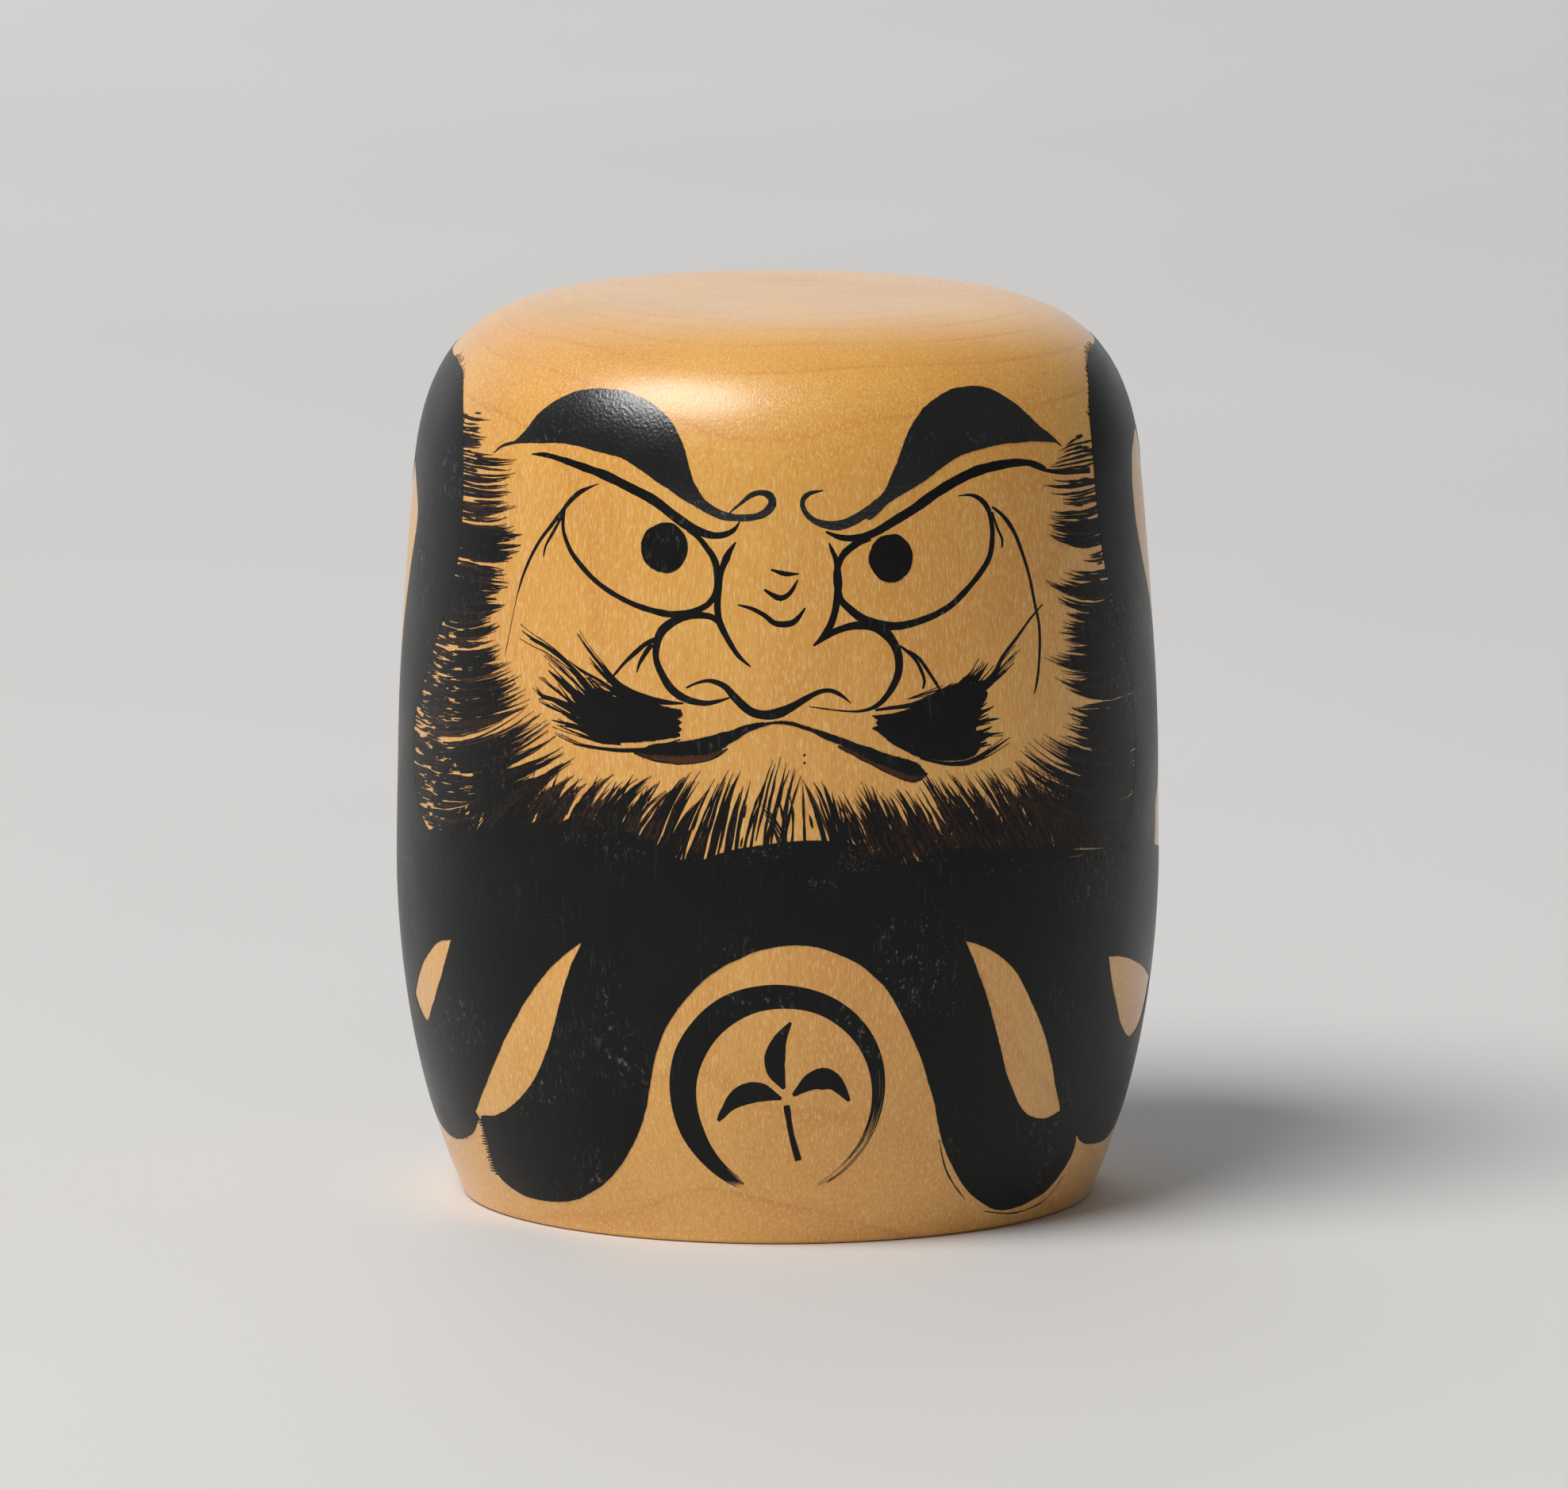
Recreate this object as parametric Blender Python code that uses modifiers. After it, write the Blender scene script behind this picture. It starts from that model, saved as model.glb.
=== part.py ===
"""Turned wooden daruma doll with brushed ink decoration.

The doll is one solid lathe-turned block. Every brushed stroke is its own thin film of dried
ink that lies on the wood, so each film is a separate named solid with a hairline gap below it.

Frame: metres, +Z up, origin at the centre of the flat foot, the face looks along -Y.
Places on the doll are given as (azimuth, height): azimuth in degrees round the turning axis,
0 at the middle of the face and positive to the viewer's right, and height in millimetres.
Left and right in names are the viewer's.
"""

import bisect
import math

import bmesh
import bpy

MM = 0.001

# Driving dimensions, in millimetres
TOTAL_HEIGHT = 107.0
BELLY_RADIUS = 45.0
BELLY_HEIGHT = 41.2
FOOT_RADIUS = 37.5
FOOT_EDGE = 0.8
SHOULDER_RADIUS = 42.7
SHOULDER_HEIGHT = 87.0
CROWN_RADIUS = 32.2
CROWN_HEIGHT = 104.7

# The turned outline as Bezier stretches from the foot's edge to the top of the crown:
# (end point, two handles, end point), each (radius, height), and how many chords it gets
TURNED_OUTLINE = [
    ([(FOOT_RADIUS, FOOT_EDGE), (40.4, 7.5), (BELLY_RADIUS, 20.8), (BELLY_RADIUS, BELLY_HEIGHT)], 6),
    ([(BELLY_RADIUS, BELLY_HEIGHT), (BELLY_RADIUS, 53.9), (44.7, 65.8),
      (SHOULDER_RADIUS, SHOULDER_HEIGHT)], 7),
    ([(SHOULDER_RADIUS, SHOULDER_HEIGHT), (41.8, 96.2), (38.6, 102.1),
      (CROWN_RADIUS, CROWN_HEIGHT)], 6),
    ([(CROWN_RADIUS, CROWN_HEIGHT), (27.0, 106.8), (21.9, TOTAL_HEIGHT), (0.0, TOTAL_HEIGHT)], 5),
]
TURNED_STEPS = 48
STEP_ANGLE = 360.0 / TURNED_STEPS

# Ink films
INK_GAP = 0.15
INK_THICKNESS = 0.25
LINE_WIDTH = 1.0
STROKE_CHORD = 2.0
EDGE_CHORD = 4.0
SHEET_SCALE = math.radians(1.0) * BELLY_RADIUS
WELD = 0.01

WOOD_COLOUR = (0.68, 0.36, 0.12, 1.0)
INK_COLOUR = (0.016, 0.017, 0.018, 1.0)


# ---------------------------------------------------------------- the turned surface

def bezier(handles, t):
    """Point at t on a cubic Bezier stretch."""
    weights = ((1 - t) ** 3, 3 * t * (1 - t) ** 2, 3 * t * t * (1 - t), t ** 3)
    return tuple(sum(w * p[k] for w, p in zip(weights, handles)) for k in range(2))


def turned_outline():
    """The faceted outline of the turned side, from the foot's edge up to the apex."""
    points = [(FOOT_RADIUS - FOOT_EDGE, 0.0), (FOOT_RADIUS, FOOT_EDGE)]
    for handles, chords in TURNED_OUTLINE:
        points += [bezier(handles, i / chords) for i in range(1, chords + 1)]
    return points


def outline_normals(points):
    """Outward unit normal at each outline point."""
    normals = []
    for i in range(len(points)):
        before = points[max(i - 1, 0)]
        after = points[min(i + 1, len(points) - 1)]
        run, rise = after[0] - before[0], after[1] - before[1]
        length = math.hypot(run, rise)
        normals.append((rise / length, -run / length))
    return normals


OUTLINE = turned_outline()
NORMALS = outline_normals(OUTLINE)
LEVELS = [height for _, height in OUTLINE]


def on_facet(azimuth, height, lift):
    """A point lifted off the turned facet that holds (azimuth, height), in metres."""
    row = min(max(bisect.bisect_right(LEVELS, height) - 1, 0), len(OUTLINE) - 2)
    t = (height - LEVELS[row]) / (LEVELS[row + 1] - LEVELS[row])
    lifted = [(OUTLINE[i][0] + NORMALS[i][0] * lift, OUTLINE[i][1] + NORMALS[i][1] * lift)
              for i in (row, row + 1)]
    radius = lifted[0][0] * (1 - t) + lifted[1][0] * t
    level = lifted[0][1] * (1 - t) + lifted[1][1] * t
    column = math.floor(azimuth / STEP_ANGLE + 1e-9)
    s = azimuth / STEP_ANGLE - column
    x = y = 0.0
    for share, edge in ((1 - s, column), (s, column + 1)):
        angle = math.radians(edge * STEP_ANGLE)
        x += share * radius * math.sin(angle)
        y -= share * radius * math.cos(angle)
    return (x * MM, y * MM, level * MM)


# ---------------------------------------------------------------- Blender helpers

def material(name, colour, roughness):
    """A plain Principled material."""
    made = bpy.data.materials.new(name)
    made.use_nodes = True
    shader = made.node_tree.nodes["Principled BSDF"]
    shader.inputs["Base Color"].default_value = colour
    shader.inputs["Roughness"].default_value = roughness
    shader.inputs["Metallic"].default_value = 0.0
    return made


def add_object(name, data, collection, finish):
    """Link a new object with one material."""
    made = bpy.data.objects.new(name, data)
    data.materials.append(finish)
    collection.objects.link(made)
    return made


def wooden_block(collection, finish):
    """The whole turned block: its outline screwed round +Z, closed at the foot and the crown."""
    mesh = bpy.data.meshes.new("wood_body")
    shape = [(radius, height) for radius, height in reversed(OUTLINE)] + [(0.0, 0.0)]
    corners = [(radius * MM, 0.0, height * MM) for radius, height in shape]
    mesh.from_pydata(corners, [(i, i + 1) for i in range(len(corners) - 1)], [])
    block = add_object("wood_body", mesh, collection, finish)
    screw = block.modifiers.new("turning", "SCREW")
    screw.steps = TURNED_STEPS
    screw.render_steps = TURNED_STEPS
    screw.use_merge_vertices = True
    screw.merge_threshold = 0.00001
    screw.use_smooth_shade = True
    return block


def flat_sheet(outlines):
    """A flat filled mesh of closed outlines; an outline inside another one is a hole."""
    curve = bpy.data.curves.new("sheet", "CURVE")
    curve.dimensions = "2D"
    curve.fill_mode = "BOTH"
    for outline in outlines:
        spline = curve.splines.new("POLY")
        spline.points.add(len(outline) - 1)
        for point, (azimuth, height) in zip(spline.points, outline):
            point.co = (azimuth * SHEET_SCALE * MM, height * MM, 0.0, 1.0)
        spline.use_cyclic_u = True
    holder = bpy.data.objects.new("sheet", curve)
    bpy.context.scene.collection.objects.link(holder)
    evaluated = holder.evaluated_get(bpy.context.evaluated_depsgraph_get())
    mesh = bpy.data.meshes.new_from_object(evaluated)
    bpy.data.objects.remove(holder)
    bpy.data.curves.remove(curve)
    return mesh


def cut_along(sheet, axis, position):
    """Cut a flat bmesh along one grid line."""
    point = [0.0, 0.0, 0.0]
    normal = [0.0, 0.0, 0.0]
    point[axis] = position
    normal[axis] = 1.0
    everything = sheet.verts[:] + sheet.edges[:] + sheet.faces[:]
    bmesh.ops.bisect_plane(sheet, geom=everything, dist=1e-7, plane_co=point, plane_no=normal)


def ink_film(name, outlines, collection, finish):
    """Wrap a flat sheet of ink round the turned facets and thicken it outwards."""
    mesh = flat_sheet(outlines)
    mesh.name = name
    sheet = bmesh.new()
    sheet.from_mesh(mesh)
    bmesh.ops.remove_doubles(sheet, verts=sheet.verts, dist=WELD * MM)
    azimuths = [azimuth for outline in outlines for azimuth, _ in outline]
    heights = [height for outline in outlines for _, height in outline]
    first = math.ceil(min(azimuths) / STEP_ANGLE)
    last = math.floor(max(azimuths) / STEP_ANGLE)
    for column in range(first, last + 1):
        cut_along(sheet, 0, column * STEP_ANGLE * SHEET_SCALE * MM)
    for level in LEVELS:
        if min(heights) < level < max(heights):
            cut_along(sheet, 1, level * MM)
    for vert in sheet.verts:
        azimuth = vert.co.x / (SHEET_SCALE * MM)
        vert.co = on_facet(azimuth, vert.co.y / MM, INK_GAP)
    bmesh.ops.remove_doubles(sheet, verts=sheet.verts, dist=WELD * MM)
    bmesh.ops.dissolve_degenerate(sheet, edges=sheet.edges, dist=WELD * MM)
    face = max(sheet.faces, key=lambda f: f.calc_area())
    face.normal_update()
    middle = face.calc_center_median()
    if face.normal.x * middle.x + face.normal.y * middle.y < 0:
        bmesh.ops.reverse_faces(sheet, faces=sheet.faces)
    sheet.to_mesh(mesh)
    sheet.free()
    film = add_object(name, mesh, collection, finish)
    solidify = film.modifiers.new("ink thickness", "SOLIDIFY")
    solidify.thickness = INK_THICKNESS * MM
    solidify.offset = 1.0
    return film


# ---------------------------------------------------------------- outlines

def smooth_path(points, chord):
    """Catmull-Rom curve through points of any length, with a point about every chord."""
    padded = [points[0]] + list(points) + [points[-1]]
    path = []
    for before, start, end, after in zip(padded, padded[1:], padded[2:], padded[3:]):
        reach = math.hypot((end[0] - start[0]) * SHEET_SCALE, end[1] - start[1])
        pieces = max(1, round(reach / chord))
        for i in range(pieces):
            t = i / pieces
            path.append(tuple(
                0.5 * (2 * b + (c - a) * t + (2 * a - 5 * b + 4 * c - d) * t * t
                       + (3 * b - a - 3 * c + d) * t ** 3)
                for a, b, c, d in zip(before, start, end, after)))
    path.append(tuple(points[-1]))
    return path


def stroke(points):
    """Outline of one brush stroke through (azimuth, height, width) points."""
    path = smooth_path(points, STROKE_CHORD)
    left, right = [], []
    for i, (azimuth, height, width) in enumerate(path):
        before = path[max(i - 1, 0)]
        after = path[min(i + 1, len(path) - 1)]
        along = ((after[0] - before[0]) * SHEET_SCALE, after[1] - before[1])
        length = math.hypot(*along)
        side = (-along[1] / length * width / 2, along[0] / length * width / 2)
        left.append((azimuth + side[0] / SHEET_SCALE, height + side[1]))
        right.append((azimuth - side[0] / SHEET_SCALE, height - side[1]))
    return left + right[::-1]


def line(points, width=LINE_WIDTH):
    """Outline of a thin stroke that tapers a little at both ends."""
    ends = {0: 0.5, len(points) - 1: 0.5}
    return stroke([(a, h, width * ends.get(i, 1.0)) for i, (a, h) in enumerate(points)])


def spot(azimuth, height, radius, corners=20):
    """A round spot."""
    turns = [math.tau * i / corners for i in range(corners)]
    return [(azimuth + radius * math.cos(t) / SHEET_SCALE, height + radius * math.sin(t))
            for t in turns]


def mirrored(points):
    """The same points on the other side of the face, in reverse order."""
    return [(-p[0],) + tuple(p[1:]) for p in reversed(points)]


def fringe(root, tips):
    """A fringe of hairs: a smooth root edge, and tips joined by notches halfway back to it."""
    edge = smooth_path(root, EDGE_CHORD)
    outline = list(edge)
    count = len(tips)
    for i, tip in enumerate(reversed(tips)):
        outline.append(tip)
        if i < count - 1:
            following = tips[count - 2 - i]
            share = 1 - (i + 1) / count
            rooted = edge[round(share * (len(edge) - 1))]
            middle = ((tip[0] + following[0]) / 2, (tip[1] + following[1]) / 2)
            outline.append(tuple(0.55 * m + 0.45 * r for m, r in zip(middle, rooted)))
    return outline


# ---------------------------------------------------------------- the robe

# Front edge of the hood from the crown down to the chest, then the top edge of the robe
HOOD_LEFT = [(-67, 99.0), (-61, 91.5), (-58.5, 84.0), (-58, 78.8), (-61, 73.0), (-67, 65.0),
             (-71.5, 58.5), (-71.5, 53.0), (-68, 47.8), (-64, 46.2)]
CHEST_EDGE = [(-47, 47.8), (-35, 49.3), (-21.5, 49.0), (-13.5, 46.3), (-6, 47.8), (3, 48.7),
              (10.5, 48.2), (16, 46.0), (27, 47.0), (45, 45.6), (57, 44.8)]
HOOD_RIGHT = [(65, 46.0), (69.5, 52.0), (69, 60.0), (65.5, 68.5), (63.5, 78.0), (60.5, 84.5),
              (59.3, 91.5), (66, 99.0)]
HOOD_TOP = 99.8

# Arch between the two sleeves, from the right foot lobe round to the left one
ARCH = [(30.5, 7.2), (26.5, 12.4), (23, 19.0), (20.3, 25.0), (17, 30.7), (13, 33.9), (8.5, 35.7),
        (3, 36.3), (-3.5, 35.6), (-11, 32.6), (-15.6, 28.4), (-18.6, 23.4), (-21.3, 16.5),
        (-24, 11.4), (-30, 6.6)]
RIGHT_LOBE = [(57.3, 10.2), (56.5, 6.2), (51.5, 3.2), (43.7, 2.6), (36, 4.0)]
LEFT_LOBE = [(-41.5, 3.6), (-49, 3.8), (-56.4, 5.6), (-56.6, 8.8), (-55.5, 12.4)]
LEFT_SLEEVE_GAP = [(-43.5, 15.8), (-40, 18.2), (-37.3, 22.2), (-34.8, 27.8), (-33, 32.2),
                   (-30.6, 35.6), (-36.7, 31.9), (-42, 27.2), (-47.5, 21.8), (-53, 16.4),
                   (-57.6, 13.2)]
RIGHT_SLEEVE_GAP = [(29, 36.0), (34, 34.4), (38.2, 31.7), (42.3, 27.2), (46, 22.6), (49.8, 16.7),
                    (52, 13.7), (48, 13.2), (43, 14.6), (38.6, 19.0), (35.7, 24.1), (32.8, 29.8)]
NEXT_GAP = [(60, 31.2), (70, 31.0), (80, 28.0), (84, 24.5), (79, 20.5), (72, 20.8), (65.5, 23.4),
            (62, 27.6)]
SIDE_LEAF = [(88, 89.5), (77, 82.0), (78.5, 75.0), (81.5, 68.0), (83.5, 54.0), (84, 38.5),
             (98, 38.0), (101, 54.0), (101, 68.0), (97, 80.0)]

# Lobes and gaps of the hem behind the arms, between these azimuths
HEM_NOTCHES = [57.3, 86.0, 117.0, 148.5, 180.0]
NOTCH_HEIGHT = 12.5
LOBE_DROP = 4.2
LOBE_CHORDS = 8
BACK_GAP_SHIFTS = [31.0, 62.5]


def hem_lobes(notches):
    """Scalloped hem edge from the first notch to the last."""
    edge = []
    for start, end in zip(notches, notches[1:]):
        for i in range(LOBE_CHORDS):
            t = i / LOBE_CHORDS
            drop = LOBE_DROP * math.sin(math.pi * t) ** 0.6
            edge.append((start + (end - start) * t, NOTCH_HEIGHT - drop))
    edge.append((notches[-1], NOTCH_HEIGHT))
    return edge


def robe_outlines():
    """The robe and hood: one outline that runs right round the doll, and the gaps in it."""
    hem = hem_lobes(HEM_NOTCHES)
    outer = [(-180.0, HOOD_TOP)]
    for edge in (HOOD_LEFT, CHEST_EDGE, HOOD_RIGHT):
        outer += smooth_path(edge, EDGE_CHORD)
    outer += [(180.0, HOOD_TOP)]
    outer += hem[:0:-1]
    outer += smooth_path(RIGHT_LOBE + ARCH + LEFT_LOBE, EDGE_CHORD)
    outer += LEFT_SLEEVE_GAP
    outer += [(-azimuth, height) for azimuth, height in hem[1:]]
    gaps = [RIGHT_SLEEVE_GAP]
    for shift in [0.0] + BACK_GAP_SHIFTS:
        gap = [(azimuth + shift, height) for azimuth, height in NEXT_GAP]
        gaps += [gap, mirrored(gap)]
    gaps += [SIDE_LEAF, mirrored(SIDE_LEAF)]
    return [outer] + gaps


# ---------------------------------------------------------------- the face

# Brush strokes as (azimuth, height, width)
BROWS = {
    "brow_left": [(-51.0, 91.6, 0.5), (-46.5, 92.8, 1.4), (-38.5, 95.3, 4.4), (-30.5, 96.4, 6.6),
                  (-23.0, 95.0, 7.6), (-17.5, 91.8, 5.2), (-13.0, 88.0, 2.4), (-9.0, 86.2, 1.3),
                  (-5.0, 85.9, 1.0), (-1.2, 87.2, 1.0), (-1.6, 89.0, 0.9), (-4.4, 89.2, 0.6)],
    "brow_right": [(50.6, 92.6, 0.5), (46.0, 94.0, 1.6), (39.5, 96.2, 5.0), (31.5, 95.8, 7.0),
                   (24.0, 92.8, 5.6), (18.0, 88.6, 2.8), (12.5, 85.9, 1.6), (7.6, 85.6, 1.1),
                   (4.2, 87.2, 1.0), (5.4, 89.0, 0.6)],
}

# Thin lines as (azimuth, height)
FACE_LINES = {
    "eyelid_left": [(-42.6, 91.6), (-36, 91.5), (-29.4, 90.4), (-22.9, 88.1), (-17.8, 86.1),
                    (-12.9, 84.4), (-8.1, 83.9)],
    "eyelid_right": [(47.9, 89.7), (43.5, 91.0), (37.2, 91.0), (30.3, 89.7), (23.9, 87.4),
                     (17.9, 85.0), (13, 84.0), (9, 84.1)],
    "eye_left": [(-31.0, 87.8), (-34.4, 85.9), (-34.8, 83.4), (-32.3, 80.2), (-28.2, 77.9),
                 (-22.3, 76.2), (-16.2, 75.6), (-12.8, 76.6), (-11.2, 79.2), (-12.2, 81.8)],
    "eye_right": [(31.0, 87.0), (34.4, 86.2), (34.8, 83.4), (32.2, 79.2), (27.4, 76.2),
                  (21.5, 74.6), (16, 74.5), (12.4, 76.0), (11.4, 78.8), (12.4, 81.4)],
    "nose_bridge_left": [(-7.2, 82.0), (-8.5, 79.6), (-8.9, 76.6), (-8.0, 73.3), (-6.4, 71.0),
                         (-4.3, 69.1)],
    "nose_bridge_right": [(7.8, 82.0), (8.9, 79.4), (9.1, 76.4), (8.2, 73.8), (6.2, 72.2)],
    "nose_wing_left": [(-11.2, 73.4), (-15.0, 73.2), (-17.8, 71.4), (-18.2, 68.8), (-17.0, 66.4),
                       (-15.0, 65.0)],
    "nose_wing_right": [(10.0, 72.4), (14.4, 72.6), (17.6, 71.0), (18.4, 68.2), (16.8, 65.4),
                        (14.2, 64.0)],
    "nose_wrinkle_top": [(-1.0, 80.1), (1.2, 79.5), (3.2, 79.6)],
    "nose_wrinkle_middle": [(-2.0, 77.8), (0.5, 76.7), (2.2, 77.2), (3.1, 78.4)],
    "nose_wrinkle_bottom": [(-5.0, 75.7), (-2.4, 75.1), (-0.4, 73.9), (2.0, 73.9), (4.1, 75.4)],
    "lip_line": [(-12.4, 67.0), (-10.2, 67.2), (-7.8, 66.6), (-5.5, 65.2), (-2.6, 63.9),
                 (0.5, 63.9), (3.4, 64.8), (5.7, 66.2), (8.4, 66.5), (10.7, 65.6)],
    "temple_line_left": [(-37.2, 85.6), (-39.2, 83.0), (-41.6, 80.0), (-43.2, 75.6)],
    "temple_line_right": [(38.0, 85.6), (40.4, 82.0), (42.6, 77.5), (43.6, 72.7), (43.2, 68.1),
                          (42.4, 64.3)],
    "temple_fold_right": [(41.8, 72.0), (39.8, 70.2), (37.8, 68.4)],
    "cheek_fold_left": [(-19.8, 72.6), (-22.4, 70.6), (-25.0, 67.9)],
    "cheek_fold_right": [(20.2, 71.6), (22.0, 69.4), (23.6, 66.4)],
}
MOUTH = [(-22.6, 57.6, 0.8), (-17.0, 57.9, 1.9), (-12.4, 59.2, 1.7), (-6.4, 61.1, 1.0),
         (0.6, 62.0, 0.9), (7.2, 60.8, 1.1), (11.5, 59.1, 1.5), (16.5, 57.6, 1.4), (22.0, 55.6, 0.8)]
PUPIL_RADIUS = 2.75
PUPILS = {"pupil_left": (-17.7, 82.0), "pupil_right": (17.6, 80.4)}
MOUSTACHE_LEFT = [(-14.8, 64.2), (-14.6, 60.3), (-20.5, 59.6), (-26.5, 60.2), (-31.5, 62.2),
                  (-34.5, 65.8), (-31.5, 65.4), (-34.6, 70.0), (-29.5, 67.8), (-25.0, 65.8),
                  (-20.0, 64.6)]
MOUSTACHE_RIGHT = [(15.2, 63.4), (15.0, 60.6), (19.5, 59.4), (26.0, 59.3), (34.0, 60.2),
                   (31.0, 62.0), (36.2, 66.8), (30.5, 65.4), (25.0, 65.0), (19.5, 64.4)]

# Hair that frames the face: the root follows the hood, the tips point at the face
HAIR_LEFT_ROOT = [(-58.8, 92.0), (-57.7, 86.0), (-57.0, 79.0), (-59.6, 73.0), (-65.4, 65.0),
                  (-70.1, 58.5), (-70.1, 53.0), (-67.6, 49.6)]
HAIR_LEFT_TIPS = [(-53.5, 92.4), (-50.0, 89.8), (-48.0, 87.0), (-47.0, 84.0), (-47.6, 81.0),
                  (-49.6, 78.0), (-50.6, 75.0), (-50.0, 72.0), (-48.0, 69.0), (-45.6, 66.0),
                  (-43.6, 63.0), (-46.0, 59.6), (-53.0, 54.0)]
HAIR_RIGHT_ROOT = [(67.4, 49.8), (68.2, 53.0), (67.4, 60.0), (64.1, 68.3), (62.2, 77.8),
                   (59.2, 84.2), (58.0, 91.0)]
HAIR_RIGHT_TIPS = [(53.0, 54.0), (46.0, 58.4), (47.6, 62.0), (50.0, 65.4), (51.0, 68.8),
                   (52.0, 72.2), (52.0, 75.4), (51.0, 78.6), (50.2, 81.8), (50.0, 85.0),
                   (51.8, 88.4), (53.6, 91.0)]
BEARD_ROOT = [(-62.0, 47.2), (-47, 48.6), (-35, 50.1), (-21.5, 49.8), (-13.5, 47.2), (-6, 48.6),
              (3, 49.5), (10.5, 49.0), (16, 46.9), (27, 47.8), (45, 46.5), (62.0, 46.6)]
BEARD_TIPS = [(-53.0, 52.0), (-45.5, 57.4), (-39.0, 56.4), (-33.0, 55.2), (-27.0, 54.6),
              (-21.0, 54.2), (-15.0, 54.8), (-9.0, 56.0), (-3.0, 56.8), (3.0, 56.8), (9.0, 55.6),
              (15.0, 54.6), (21.0, 54.2), (27.0, 54.2), (33.0, 55.0), (39.0, 56.0), (45.0, 56.8),
              (53.0, 51.6)]

# Ornament between the sleeves: an open brushed ring round a sprig of three leaves
RING_CENTRE = (0.5, 18.5)
RING_RADIUS = 12.0
RING_START = -112.0
RING_SWEEP = -318.0
RING_WIDTHS = [1.2, 3.0, 3.6, 3.2, 2.6, 2.0, 1.3, 0.5]
SPRIG = {
    "sprig_stem": [(3.4, 10.6, 0.9), (2.2, 13.8, 0.7), (1.4, 17.4, 0.8)],
    "sprig_leaf_left": [(0.6, 18.2, 0.4), (-3.2, 19.0, 2.4), (-6.6, 18.0, 2.0), (-9.4, 15.4, 0.4)],
    "sprig_leaf_top": [(1.0, 19.4, 0.4), (-0.4, 22.2, 2.6), (0.2, 25.0, 1.8), (2.0, 27.4, 0.3)],
    "sprig_leaf_right": [(2.4, 18.6, 0.4), (5.6, 20.4, 2.4), (8.6, 20.2, 2.0), (11.2, 17.8, 0.4)],
}


def ring_stroke():
    """The open ring, brushed in one sweep that starts heavy and runs dry."""
    points = []
    for i, width in enumerate(RING_WIDTHS):
        turn = math.radians(RING_START + RING_SWEEP * i / (len(RING_WIDTHS) - 1))
        points.append((RING_CENTRE[0] + RING_RADIUS * math.cos(turn) / SHEET_SCALE,
                       RING_CENTRE[1] + RING_RADIUS * math.sin(turn), width))
    return points


def ink_outlines():
    """Every ink film by name, each a list of closed outlines."""
    films = {"robe": robe_outlines()}
    films["hair_left"] = [fringe(HAIR_LEFT_ROOT, HAIR_LEFT_TIPS)]
    films["hair_right"] = [fringe(HAIR_RIGHT_ROOT, HAIR_RIGHT_TIPS)]
    films["beard"] = [fringe(BEARD_ROOT, BEARD_TIPS)]
    films["moustache_left"] = [MOUSTACHE_LEFT]
    films["moustache_right"] = [MOUSTACHE_RIGHT]
    films["mouth"] = [stroke(MOUTH)]
    for name, points in BROWS.items():
        films[name] = [stroke(points)]
    for name, points in FACE_LINES.items():
        films[name] = [line(points)]
    for name, (azimuth, height) in PUPILS.items():
        films[name] = [spot(azimuth, height, PUPIL_RADIUS)]
    films["emblem_ring"] = [stroke(ring_stroke())]
    for name, points in SPRIG.items():
        films[name] = [stroke(points)]
    return films


def main():
    for leftover in list(bpy.data.objects):
        bpy.data.objects.remove(leftover)
    doll = bpy.data.collections.new("daruma_doll")
    bpy.context.scene.collection.children.link(doll)
    wood = material("waxed_wood", WOOD_COLOUR, 0.35)
    ink = material("black_ink", INK_COLOUR, 0.45)
    wooden_block(doll, wood)
    for name, outlines in ink_outlines().items():
        ink_film("ink_" + name, outlines, doll, ink)


main()
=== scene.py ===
"""Looks of a turned wooden daruma doll with a brushed ink face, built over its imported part.

The wood is one turned body. Every brush mark is a thin film of ink wrapped on to the turned
surface. Places on the doll are (azimuth, height): azimuth in degrees round the turning axis,
0 at the middle of the face and positive to the viewer's right, and height in millimetres.
Left and right in names are the viewer's.
"""

import math

import bmesh
import bpy
import numpy as np
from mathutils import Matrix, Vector


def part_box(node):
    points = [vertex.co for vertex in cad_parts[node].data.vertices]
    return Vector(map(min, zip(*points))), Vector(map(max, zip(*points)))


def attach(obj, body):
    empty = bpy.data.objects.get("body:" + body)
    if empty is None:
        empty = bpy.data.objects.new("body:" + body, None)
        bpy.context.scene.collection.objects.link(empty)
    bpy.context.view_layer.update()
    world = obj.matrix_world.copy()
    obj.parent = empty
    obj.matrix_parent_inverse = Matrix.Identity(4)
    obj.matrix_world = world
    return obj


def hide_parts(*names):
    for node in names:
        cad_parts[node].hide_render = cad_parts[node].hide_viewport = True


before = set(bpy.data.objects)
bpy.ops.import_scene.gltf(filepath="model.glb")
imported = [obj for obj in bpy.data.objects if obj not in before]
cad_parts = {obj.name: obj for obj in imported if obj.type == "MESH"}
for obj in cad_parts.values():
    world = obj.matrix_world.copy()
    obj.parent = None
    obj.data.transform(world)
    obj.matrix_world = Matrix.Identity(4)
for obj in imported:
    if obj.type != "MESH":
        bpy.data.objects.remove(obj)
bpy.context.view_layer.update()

# ---------------------------------------------------------------- the turned surface

TOTAL_HEIGHT = 107.0
BELLY_RADIUS = 45.0
LOW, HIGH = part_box("wood_body")
MM = (HIGH.z - LOW.z) / TOTAL_HEIGHT
SHEET = math.radians(1.0) * BELLY_RADIUS      # millimetres of belly in one degree

FOOT_RADIUS = 37.5
FOOT_EDGE = 0.8               # radius of the softened edge round the foot
FOOT_RINGS = (12.0, 30.0, FOOT_RADIUS - FOOT_EDGE - 0.4)
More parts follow.
